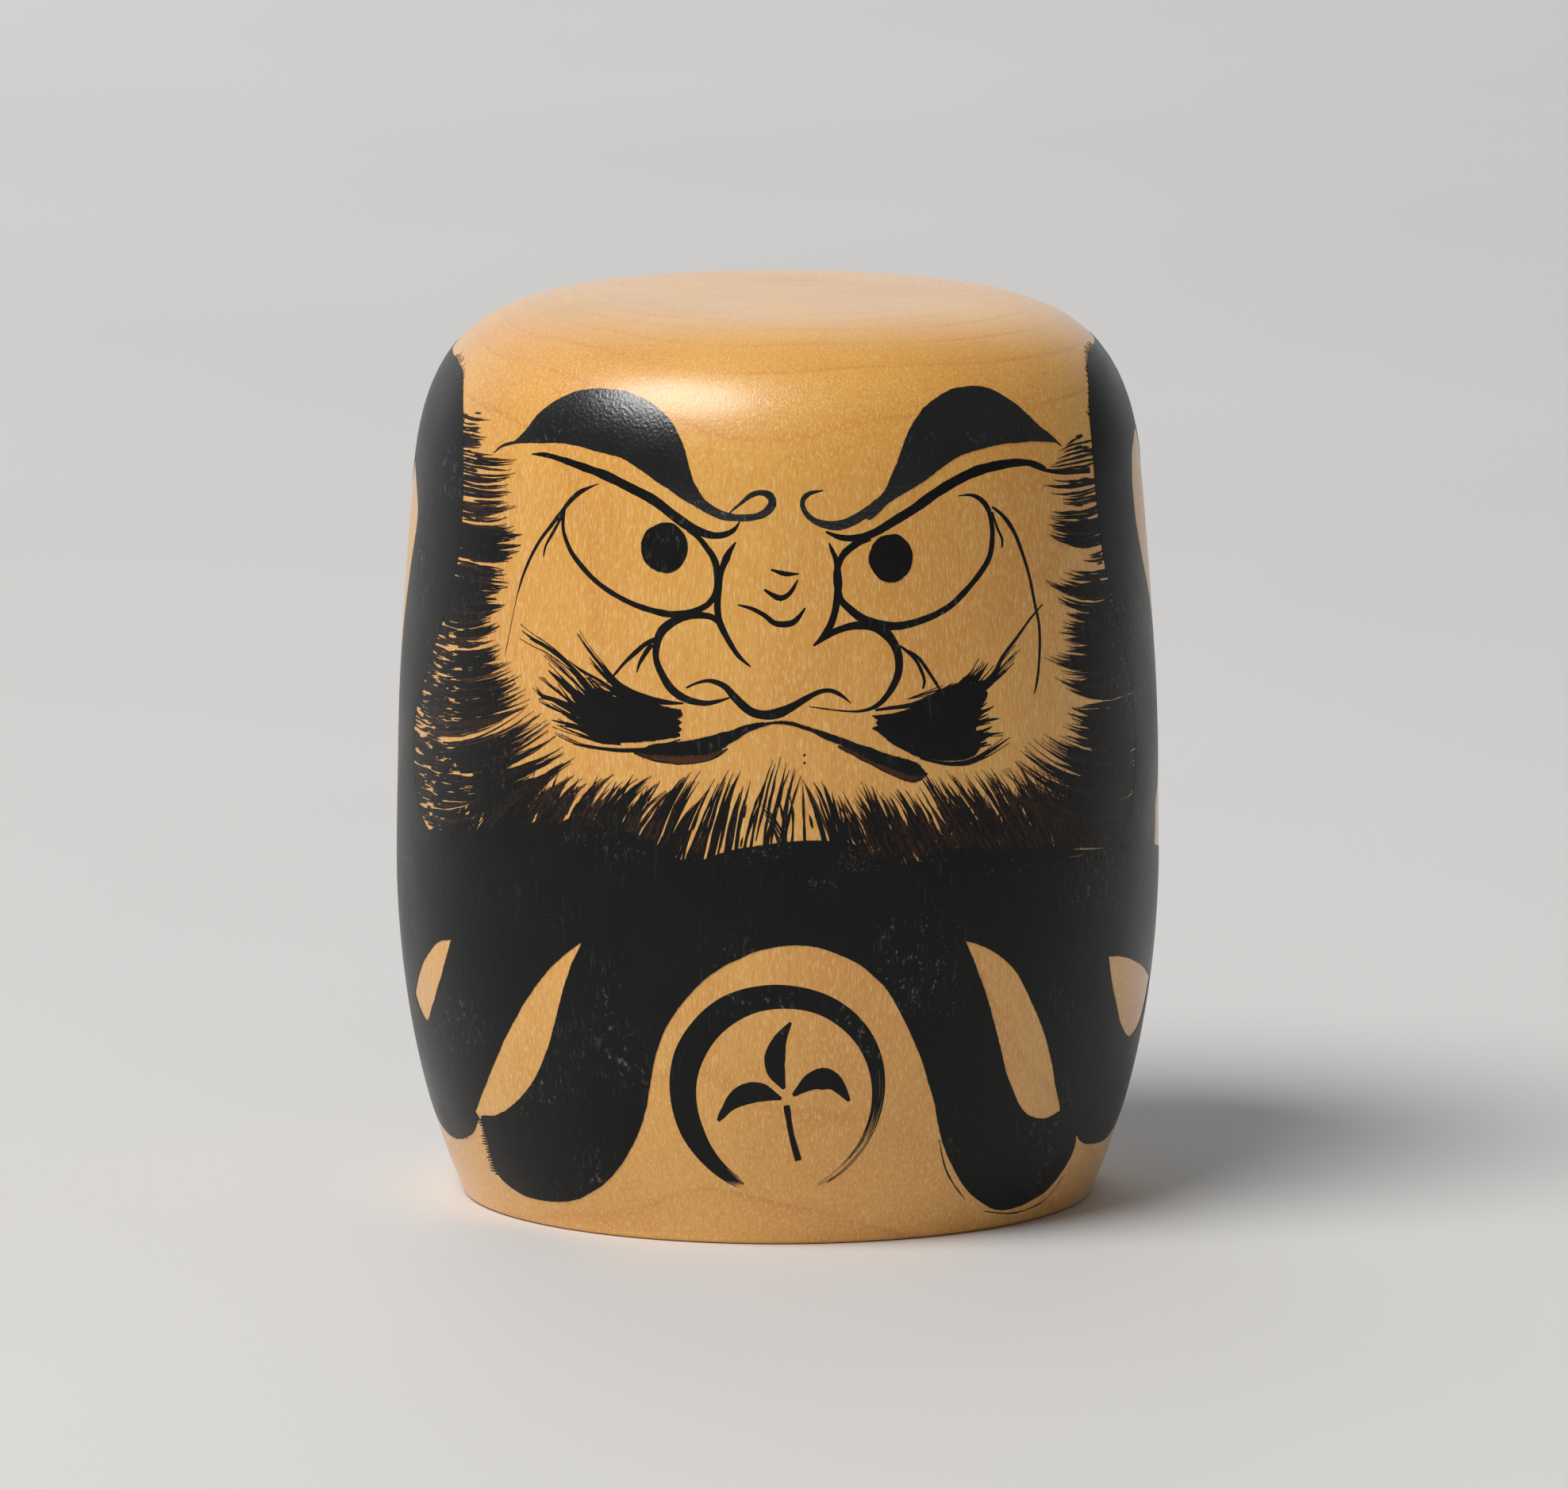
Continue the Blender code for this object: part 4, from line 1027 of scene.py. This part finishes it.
def moustache(name, seed):
    """A square-ended black core with long hairs that sweep outwards."""
    film = Film(seed)
    rng = film.rng
    core = MOUSTACHE_CORES[name]
    slits = [np.array(slit) for slit in MOUSTACHE_SLITS[name]]
    film.area([brushed(core + core[:1], rng, FINE_CHORD, 0.03)[:-1]] + slits)
    for low, high, lean, count in MOUSTACHE_FRAY[name]:
        for s in rng.uniform(0, 1, count):
            a, h = between(low, high, s)
            reach = rng.uniform(0.3, 1.0)
            da, dh = lean[0] * reach, lean[1] * reach + rng.normal() * 0.15
            film.line([(a - da * 0.3, h - dh * 0.3, 0.3), (a + da * 0.4, h + dh * 0.3, 0.24),
                       (a + da, h + dh, 0.07)], fray=0.15, density=rng.uniform(0.5, 1.0))
    for points in MOUSTACHE_HAIRS[name]:
        film.line(points, fray=0.08)
        points = np.array(points)
        share = np.linspace(0, 1, len(points))
        for _ in range(3):
            single = points.copy()
            single[:, :2] += share[:, None] * rng.normal(size=2) * (0.9, 0.45)
            single[:, 2] = np.maximum(single[:, 2] * 0.3, 0.07)
            film.line(single[:max(3, len(points) - rng.integers(0, 2))], fray=0.1, density=0.8)
    film.piece(name + "_ink", "ink_" + name)


# ---------------------------------------------------------------- hair and beard

# Brush dabs of the hair: height of the root on the hood's edge, azimuth and height of the tip,
# width, and how full of ink the brush is
HAIR_LEFT = [
    (95.2, -53.5, 96, 0.2, 0.3), (93.9, -55, 94.5, 0.3, 0.4), (93.2, -52, 93.6, 0.1, 0.5),
    (92.3, -54.5, 92.6, 0.6, 0.5), (91.7, -55, 91.9, 0.5, 0.5), (90.9, -54.5, 91.2, 0.3, 0.5),
    (90.5, -45.5, 91, 0.1, 0.5), (89.8, -46.5, 90.5, 0.4, 0.8), (88.5, -45.5, 89.5, 0.2, 0.6),
    (87.7, -48, 88.6, 0.3, 0.6), (86.6, -45.5, 87.4, 0.5, 0.8), (85.5, -46.5, 86.3, 0.2, 0.5),
    (84.8, -48, 85.8, 0.6, 0.5), (84.5, -45, 85.7, 0.2, 0.7), (84, -47.5, 85.1, 0.5, 0.6),
    (82.4, -46, 83.7, 0.5, 0.6), (81.6, -43.5, 82.5, 1.7, 1), (79.4, -44, 80.6, 1.4, 1),
    (78, -46.5, 78.1, 0.7, 0.7), (77, -46.5, 77.6, 1, 0.9), (75.8, -45.5, 76.2, 1, 0.9),
    (74.3, -49, 75.3, 1.2, 0.9), (73, -46, 74.2, 1.4, 1), (71.6, -49, 73, 1, 0.9),
    (70.7, -49, 72.1, 0.8, 0.9), (69.6, -47, 71.8, 1.2, 1), (68.4, -48, 70, 0.8, 0.6),
    (66.7, -47, 68.9, 1.8, 1), (65.6, -46.5, 67.3, 1.2, 0.9), (64.5, -44.5, 67.7, 1, 0.8),
    (62.9, -43.5, 66.3, 1.4, 0.9), (61.9, -43, 65.5, 1.8, 0.9), (60.7, -42, 64.5, 1.6, 0.8),
    (59.3, -41, 62.9, 1.6, 0.7), (58.1, -45, 61, 1, 0.6), (56.8, -41.5, 62.5, 1, 0.6),
    (56, -38.5, 62.1, 1.8, 0.8), (54.7, -37.5, 60.8, 2, 0.9), (53.5, -36.5, 59.3, 2, 0.9),
    (52.2, -34.5, 57.8, 1.8, 1), (50.9, -35.5, 57.7, 1.4, 0.8), (50.3, -54, 51.6, 1.6, 0.8),
    (49.3, -46, 52.5, 0.6, 0.4), (48.8, -53, 50.3, 1.6, 0.8), (47.6, -52, 49.2, 1.4, 0.8),
    (47.5, -47.5, 50.5, 0.6, 0.4), (46.6, -51, 48.4, 1.2, 0.9),
]
HAIR_RIGHT = [
    (92.8, 51.5, 91.6, 0.5, 0.5), (91.1, 50, 90.7, 0.2, 0.8), (89.9, 48, 89.9, 0.2, 0.5),
    (87.8, 49, 88.4, 0.3, 0.5), (87.1, 45.5, 88.2, 0.3, 1), (85.6, 49.5, 86.2, 0.2, 0.6),
    (84.9, 49.5, 85.7, 0.2, 0.6), (83.7, 47, 84.5, 0.2, 0.7), (83, 47.5, 84.1, 0.2, 0.7),
    (82.4, 47, 83.4, 0.9, 0.9), (81.5, 47, 82.7, 0.2, 0.7), (80.6, 46.5, 82.4, 0.9, 1),
    (79.1, 56, 79.2, 0.1, 0.5), (78.6, 56.5, 78.7, 0.1, 0.5), (76.7, 50.5, 77.9, 0.5, 0.9),
    (76, 50, 77, 0.2, 0.6), (74.7, 45, 77.4, 1.2, 1), (73.8, 50, 75.4, 0.9, 0.9),
    (72.8, 47, 75.3, 0.4, 0.9), (71.5, 49.5, 72.9, 1.2, 1), (70.1, 48.5, 71.5, 1, 1),
    (69.1, 49, 69.9, 1, 1), (67.9, 49.5, 68.5, 1.2, 1), (66.6, 47.5, 68.1, 1, 1),
    (65.5, 44.5, 68.2, 0.6, 1), (64.4, 51.5, 64.5, 2, 1), (62.8, 46.5, 65.8, 1, 1),
    (61.2, 52.5, 61.8, 0.8, 1), (60, 50, 61.9, 1.2, 1), (58.4, 50, 60.7, 1.2, 1),
    (57.6, 48, 59.9, 0.6, 0.9), (56.5, 49, 58.7, 1.2, 0.9), (55, 44.5, 59.1, 1.2, 0.9),
    (53.5, 42.5, 58.6, 1.2, 0.8), (52, 40, 57.4, 1.6, 0.9), (50.5, 38.5, 56.5, 1.2, 0.8),
    (49.2, 36, 55.6, 1.2, 0.6), (48.5, 50, 52, 2, 1), (47.8, 33, 55.5, 1.4, 0.6), (47.6, 50, 50.6, 2, 1),
    (46.5, 49.5, 49.4, 2, 1), (45.6, 48, 48.4, 2, 1),
]
# Dabs that start from the chest edge: azimuth of the root, then as above
JAW_LEFT = [
    (-57, -36.5, 57, 2.2, 1), (-55.5, -38.5, 54.5, 2.2, 1), (-53, -37.5, 54.8, 2.2, 0.9),
    (-49, -35.5, 55, 2, 0.9),
]
JAW_RIGHT = [
    (57, 32, 53.7, 1.2, 0.5), (51, 37.5, 52, 1, 0.6), (64.5, 47.5, 51, 2, 1), (61, 44, 51.5, 1.8, 0.9),
    (55, 38, 52.5, 1.6, 0.7),
]
BEARD = [
    (-45, -32, 57.1, 1.8, 0.9), (-43, -31.5, 55.3, 1.6, 0.6), (-38.5, -32, 55.2, 1.1, 0.6),
    (-35.5, -29, 54.8, 1.3, 0.6), (-32.5, -25, 55.8, 1.3, 0.8), (-29, -23.5, 55.1, 0.6, 0.8),
    (-26.5, -19, 55.9, 1.3, 1), (-24, -17.5, 55.3, 0.7, 0.8), (-21.5, -15, 54.8, 0.5, 0.6),
    (-19, -13, 56.5, 1.3, 1), (-17, -11.5, 56.6, 0.7, 0.7), (-16, -11, 53.7, 1.1, 0.9),
    (-14, -9, 56.1, 0.5, 0.8), (-11.5, -7, 57.1, 0.9, 1), (-9.5, -5.5, 56.7, 0.8, 0.9),
    (-7.5, -5, 55, 0.7, 0.8), (-6, -4, 55.6, 0.7, 0.7), (-5, -2.5, 53.3, 0.3, 0.8),
    (-4, -0.5, 58.4, 0.2, 1), (-2, 0.5, 58.4, 0.3, 1), (-1.5, 2, 57.3, 0.3, 1),
    (0.5, 2.5, 57.1, 0.4, 0.9), (1, 3.5, 56.3, 0.3, 0.9), (1.5, -2.5, 53.3, 0.2, 1),
    (0.5, -2.5, 52.5, 0.2, 1), (4, 3.5, 56, 0.3, 0.9), (7, 3.5, 56.1, 0.5, 0.9), (8.5, 5, 55.8, 0.8, 0.8),
    (9.5, 6.5, 55.6, 0.8, 0.9), (10.5, 8.5, 54.7, 0.7, 0.7), (13, 10, 52.8, 0.5, 0.6),
    (15, 11, 53.6, 0.8, 0.7), (16, 12.5, 55.3, 0.8, 0.9), (17, 14, 54.8, 1.1, 0.8),
    (19.5, 15, 54.1, 1.1, 0.6), (20.5, 16.5, 54, 0.7, 0.6), (22.5, 18, 54.4, 0.9, 0.8),
    (24, 19, 54.4, 0.8, 0.5), (27, 22, 53.2, 0.8, 0.5), (28.5, 23.5, 54, 0.8, 0.5),
    (30.5, 24, 54.2, 1.1, 0.7), (32.5, 25.5, 54.7, 1.1, 0.5), (34.5, 28, 54.6, 1.1, 0.5),
    (36.5, 31, 53.4, 1.1, 0.5), (39.5, 33, 52.8, 1.1, 0.4), (41.5, 33, 55.5, 1.1, 0.5),
    (44, 36, 55.6, 1.3, 0.5), (46, 38, 56.3, 1.1, 0.6),
]
# Short thick roots along the chest edge: from and to (azimuth, height), lean in degrees, how
# many, how full
BEARD_ROOTS = [
    ((-52, 46.8), (-24, 48.6), 4.5, 26, 0.9), ((-24, 48.6), (-12, 46.5), 2.5, 12, 0.6),
    ((14, 45.5), (26, 46.2), -2.5, 14, 0.5), ((26, 46.2), (56, 44.8), -4.5, 34, 0.5),
]
# Single fine hairs among the dabs: from and to, lean in degrees, least and most rise, how many
BEARD_HAZE = [
    ((13, 46), (30, 46.6), -6, (3, 9), 110), ((28, 46.6), (56, 45), -8, (3.5, 10.5), 260),
    ((24, 46.4), (52, 46), 2.5, (2.5, 7.5), 70), ((-48, 48), (-20, 48.6), 4.5, (3, 7.5), 90),
]
# Heights of the two short strokes that cross a beard hair near the middle
BEARD_TICKS = (58.7, 57.8)
BEARD_TICK_AZIMUTH = 4.0
FULLEST = 1.3                 # density of the ink at a dab's root
BRISTLE = 0.2                 # how far apart the bristles of a brush lie
ROOT_OVERLAP = 2.4            # how far over the robe a dab starts
FLICK = 0.12                  # how much further the tip flicks on, for its way from the bend
SPINE_STEP = 0.5
DRY_REACH = 0.50              # a dry dab skips over this share of its length
DRY_MARKS = (1.2, 6.0)        # least and most length of a mark between two skips
DRY_SKIPS = (0.2, 1.1)
# The brush ran dry low on the left cheek: below each height, the skips' length and the number
# of fainter dabs next to each one
DRY_SIDE = -52.0
DRY_CHEEK = [(53.0, 2.2, 1), (71.0, 1.5, 2)]


def hood_dabs(rows, edge):
    """Dabs from the hood's edge towards the face; each sags in the middle as its tip turns up."""
    heights, azimuths = zip(*sorted((h, a) for a, h in edge))
    made = []
    for low, azimuth, high, width, full in rows:
        start = float(np.interp(low, heights, azimuths))
        bend = ((start + azimuth) / 2 + 0.05 * (azimuth - start), (low + high) / 2 - 0.45 * (high - low))
        made.append(((start, low), bend, (azimuth, high), width, full))
    return made


def chest_dabs(rows):
    """Dabs up from the chest edge, bowed a little outwards."""
    azimuths, heights = zip(*CHEST_EDGE)
    made = []
    for start, azimuth, high, width, full in rows:
        low = float(np.interp(start, azimuths, heights))
        bend = ((start + azimuth) / 2 + 0.1 * (start - azimuth), (low + high) / 2 + 0.04 * (high - low))
        made.append(((start, low), bend, (azimuth, high), width, full))
    return made


def dab(film, root, bend, tip, width, full, dry=0.0):
    """One dab of a loaded brush: bristle marks side by side that run dry one after another."""
    rng = film.rng
    control = [2 * b - (r + t) / 2 for r, b, t in zip(root, bend, tip)]
    tip = [t + (t - b) * FLICK for b, t in zip(bend, tip)]
    away = np.array([(root[0] - control[0]) * SHEET, root[1] - control[1]])
    away *= ROOT_OVERLAP / max(np.hypot(*away), 0.1)
    root = (root[0] + away[0] / SHEET, root[1] + away[1])
    length = math.hypot((tip[0] - root[0]) * SHEET, tip[1] - root[1])
    t = np.linspace(0, 1, max(6, int(length / SPINE_STEP)))
    spine = np.stack([(1 - t) ** 2 * r + 2 * t * (1 - t) * c + t * t * e
                      for r, c, e in zip(root, control, tip)], axis=1)
    side = sides(spine) / (SHEET, 1.0)
    belly = np.minimum(1.0, 0.85 + t) * np.clip((1.03 - t) / 0.6, 0, 1) ** 0.55
    count = max(1, round(width / BRISTLE))
    for k in range(count):
        across = ((k + rng.uniform(0.2, 0.8)) / count - 0.5) * width
        start = rng.uniform(0.0, 0.05)
        end = 1.0 - 0.30 * abs(2 * across / width) ** 1.5 * rng.uniform(0.4, 1.2) - rng.uniform(0, 0.05)
        if rng.random() > full:
            start, end = sorted((rng.uniform(0.0, 0.5), rng.uniform(0.35, 1.0) * end))
            end = max(end, start + 0.2)
        if not dry:
            cuts = [start, end]
        elif k % 2 == 0:
            # the brush skips on the way: bare breaks of random length in the first part of the mark
            cuts, at = [], 0.0
            while at < DRY_REACH:
                on, off = rng.uniform(*DRY_MARKS) / length, rng.uniform(*DRY_SKIPS) * dry / length
                cuts += [at, at + on]
                at += on + off
            cuts[-1] = 1.0
        for first, last in zip(cuts[::2], cuts[1::2]):
            keep = (t >= max(first, start)) & (t <= min(last, end))
            if keep.sum() < 3:
                continue
            s = np.linspace(0, 1, keep.sum())
            wave = drift(rng, keep.sum(), 4) * 0.03
            line = spine[keep] + side[keep] * (across * belly[keep] + wave)[:, None]
            swell = np.minimum(1, 0.55 + 3 * s) * np.minimum(1, 0.12 + 3.0 * (1 - s))
            load = 0.55 * full * (1 - 0.5 * (dry > 0))
            breadth = BRISTLE * (1.15 + load) * swell * (0.55 + 0.45 * belly[keep])
            breadth *= 1 + drift(rng, keep.sum(), 2) * 0.18
            soak = full * 0.8 + 0.22 + rng.normal() * 0.25 * (1.35 - full) - 0.3 * s ** 3
            soak = np.clip(soak, 0.0, FULLEST)
            soak[t[keep] * length < ROOT_OVERLAP] = FULLEST
            film.mark(np.column_stack([line, np.maximum(breadth, 0.05)]), soak)


def fringe(film, dabs, extra, dry_rows=()):
    """Dabs side by side, and fainter ones between neighbours; dry_rows as in DRY_CHEEK."""
    rng = film.rng
    for first, second in zip(dabs, dabs[1:] + dabs[-1:]):
        azimuth, height = first[0]
        dry, fainter = 0.0, extra
        for below, skips, few in reversed(dry_rows):
            if azimuth < DRY_SIDE and height < below:
                dry, fainter = skips, few
        dab(film, *first, dry)
        for _ in range(fainter):
            s = rng.uniform(0.25, 0.75)
            places = [tuple((1 - s) * a + s * b + j * rng.normal() for a, b, j in zip(p, q, (0.35, 0.12)))
                      for p, q in zip(first[:3], second[:3])]
            width = (first[3] + second[3]) / 2 * rng.uniform(0.3, 0.75)
            dab(film, *places, width, (first[4] + second[4]) / 2 * rng.uniform(0.6, 1.0), dry)


def beard_roots(film):
    """Thick roots along the chest edge, single fine hairs above it, and two crossing strokes."""
    rng = film.rng
    for low, high, lean, count, full in BEARD_ROOTS:
        for s in np.linspace(0, 1, count):
            a, h = between(low, high, s)
            rise = rng.uniform(2.5, 5.5)
            a += rng.normal() * 0.4
            width = rng.uniform(0.5, 1.4)
            dab(film, (a, h), (a + lean * 0.45, h + rise / 2), (a + lean, h + rise), width, full)
    for low, high, lean, rises, count in BEARD_HAZE:
        for s in rng.uniform(0, 1, count):
            a, h = between(low, high, s)
            rise = rng.uniform(*rises)
            reach = lean * rise / rises[1] + rng.normal() * 0.6
            dab(film, (a, h), (a + reach * 0.45, h + rise * 0.52), (a + reach, h + rise), 0.15,
                rng.uniform(0.3, 1.0), 0.6)
    for h in BEARD_TICKS:
        a = BEARD_TICK_AZIMUTH
        film.mark([(a - 0.1, h - 0.16, 0.12), (a, h, 0.3), (a + 0.05, h + 0.16, 0.12)])


def hair():
    """The fringe down both sides of the face, and the beard."""
    film = Film(300, HAIR_LIFT)
    fringe(film, hood_dabs(HAIR_LEFT, HOOD_LEFT) + chest_dabs(JAW_LEFT), 3, DRY_CHEEK)
    film.piece("hair_left_ink", "ink_hair_left")
    film = Film(301, HAIR_LIFT)
    fringe(film, hood_dabs(HAIR_RIGHT, HOOD_RIGHT) + chest_dabs(JAW_RIGHT), 3)
    film.piece("hair_right_ink", "ink_hair_right")
    film = Film(302, HAIR_LIFT)
    fringe(film, chest_dabs(BEARD), 1)
    beard_roots(film)
    film.piece("beard_ink", "ink_beard")


# ---------------------------------------------------------------- ornament between the sleeves

RING_CENTRE = (0.5, 18.5)
RING_RADIUS = 12.0
RING_START = -112.0
RING_SWEEP = -318.0
RING_WIDTHS = [1.2, 3.0, 3.6, 3.2, 2.6, 2.0, 1.3, 0.5]
RING_BRISTLES = 16
RING_STEPS = 170
SPRIG = {
    "sprig_stem": [(3.4, 10.6, 0.9), (2.2, 13.8, 0.7), (1.4, 17.4, 0.8)],
    "sprig_leaf_left": [(0.6, 18.2, 0.4), (-3.2, 19, 2.4), (-6.6, 18, 2), (-9.4, 15.4, 0.4)],
    "sprig_leaf_top": [(1, 19.4, 0.4), (-0.4, 22.2, 2.6), (0.2, 25, 1.8), (2, 27.4, 0.3)],
    "sprig_leaf_right": [(2.4, 18.6, 0.4), (5.6, 20.4, 2.4), (8.6, 20.2, 2), (11.2, 17.8, 0.4)],
}


def ornament():
    """An open ring brushed in one sweep that runs dry, round a sprig of three leaves."""
    film = Film(400)
    rng = film.rng
    t = np.linspace(0, 1, RING_STEPS)
    turn = np.radians(RING_START + RING_SWEEP * t)
    width = np.interp(t, np.linspace(0, 1, len(RING_WIDTHS)), RING_WIDTHS)
    for k in range(RING_BRISTLES):
        across = (k + 0.5) / RING_BRISTLES - 0.5
        end = 1.0 - rng.uniform(0.0, 0.30)
        start = rng.uniform(0.0, 0.02)
        keep = (t >= start) & (t <= end)
        reach = RING_RADIUS + across * width[keep] * 0.95 + drift(rng, keep.sum(), 12) * 0.04
        s = np.linspace(0, 1, keep.sum())
        taper = np.minimum(1, 0.3 + 20 * s) * np.minimum(1, 0.15 + 5 * (1 - s))
        breadth = np.maximum(width[keep] / RING_BRISTLES * 1.7 * taper, 0.06)
        path = np.column_stack([RING_CENTRE[0] + reach * np.cos(turn[keep]) / SHEET,
                                RING_CENTRE[1] + reach * np.sin(turn[keep]), breadth])
        film.mark(path, 1.1 - 0.5 * s ** 3)
    film.piece("ornament_ring_ink", "ink_emblem_ring")
    for number, (name, points) in enumerate(SPRIG.items()):
        film = Film(410 + number)
        film.line(points, fray=0.06)
        film.piece(name + "_ink", "ink_" + name)


# ---------------------------------------------------------------- floor, light and camera

# The surround's brightness goes from the third to the fourth number as a direction's share
# towards the bright side goes from the first to the second
BRIGHT_SIDE = (-0.30, 0.95, 0.0)
ROOM = (0.30, 0.95, 0.13, 0.75)
COOL_WHITE = (0.97, 0.985, 1.0)
WARM_WHITE = (1.0, 0.985, 0.965)
FLOOR_TONES = ((0.71, 0.702, 0.692, 1.0), (0.74, 0.732, 0.722, 1.0))
FLOOR_REACH = 4.0
# name, place, aimed at, width and depth, power, colour, whether it shows as a reflection
LAMPS = [
    ("key", (-1.24, -1.09, 2.51), (0.0, 0.0, 0.05), (2.1, 1.5), 80.0, WARM_WHITE, True),
    ("backdrop", (-0.4, 1.8, 1.1), (-0.35, 1.6, 0.0), (0.8, 0.8), 5.8, COOL_WHITE, False),
]


def studio():
    """A pale floor, one big soft light from the upper left and a weak one over the far floor."""
    n = Nodes("pale_floor")
    place = n.place()
    tone = n.noise(place, 0.004, 2.0)
    colour = n.mix(n.ramp(tone, [(0.3, 0.0), (0.7, 1.0)]), *FLOOR_TONES)
    n.link(colour, n.shader.inputs["Base Color"])
    n.shader.inputs["Roughness"].default_value = 0.7
    corners = [(x * FLOOR_REACH, y * FLOOR_REACH, 0) for x, y in ((-1, -1), (1, -1), (1, 1), (-1, 1))]
    mesh = bpy.data.meshes.new("floor")
    mesh.from_pydata(corners, [], [(0, 1, 2, 3)])
    mesh.materials.append(n.material)
    floor = bpy.data.objects.new("floor", mesh)
    bpy.context.scene.collection.objects.link(floor)

    # the room is dim in front of the doll and bright behind it, as if a pale wall stood there
    world = bpy.data.worlds.new("surround")
    world.use_nodes = True
    tree = world.node_tree
    along = tree.nodes.new("ShaderNodeVectorMath")
    along.operation = "DOT_PRODUCT"
    along.inputs[1].default_value = BRIGHT_SIDE
    tree.links.new(tree.nodes.new("ShaderNodeTexCoord").outputs["Generated"], along.inputs[0])
    room = tree.nodes.new("ShaderNodeMapRange")
    room.interpolation_type = "SMOOTHSTEP"
    for name, value in zip(("From Min", "From Max", "To Min", "To Max"), ROOM):
        room.inputs[name].default_value = value
    tree.links.new(along.outputs["Value"], room.inputs["Value"])
    tree.links.new(room.outputs[0], tree.nodes["Background"].inputs["Strength"])
    tree.nodes["Background"].inputs["Color"].default_value = COOL_WHITE + (1.0,)
    bpy.context.scene.world = world

    for name, place, target, size, power, colour, reflected in LAMPS:
        data = bpy.data.lights.new(name, "AREA")
        data.shape = "ELLIPSE"
        data.size, data.size_y = size
        data.energy = power
        data.color = colour
        lamp = bpy.data.objects.new(name, data)
        lamp.location = place
        lamp.visible_glossy = reflected
        lamp.rotation_euler = (Vector(place) - Vector(target)).to_track_quat("Z", "Y").to_euler()
        bpy.context.scene.collection.objects.link(lamp)


CAMERA_DISTANCE = 1.8
CAMERA_ELEVATION = 8.82
AIM = (0.00075, 0.0, 0.05302)
LENS = 349.9
SENSOR = 36.0


def camera():
    """The camera that frames the doll as a long lens does from a little above it."""
    data = bpy.data.cameras.new("camera")
    data.lens = LENS
    data.sensor_width = SENSOR
    data.clip_start = 0.05
    made = bpy.data.objects.new("camera", data)
    e = math.radians(CAMERA_ELEVATION)
    away = Vector((0.0, -math.cos(e), math.sin(e)))
    made.location = Vector(AIM) + away * CAMERA_DISTANCE
    made.rotation_euler = away.to_track_quat("Z", "Y").to_euler()
    bpy.context.scene.collection.objects.link(made)
    bpy.context.scene.camera = made


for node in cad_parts.values():
    node.data.materials.clear()
    node.data.materials.append(WOOD if node.name == "wood_body" else INK)

turned_body()
robe()
face_lines()
mouth()
moustache("moustache_left", 210)
moustache("moustache_right", 211)
hair()
ornament()
studio()
camera()
bpy.context.scene.view_settings.view_transform = "Standard"
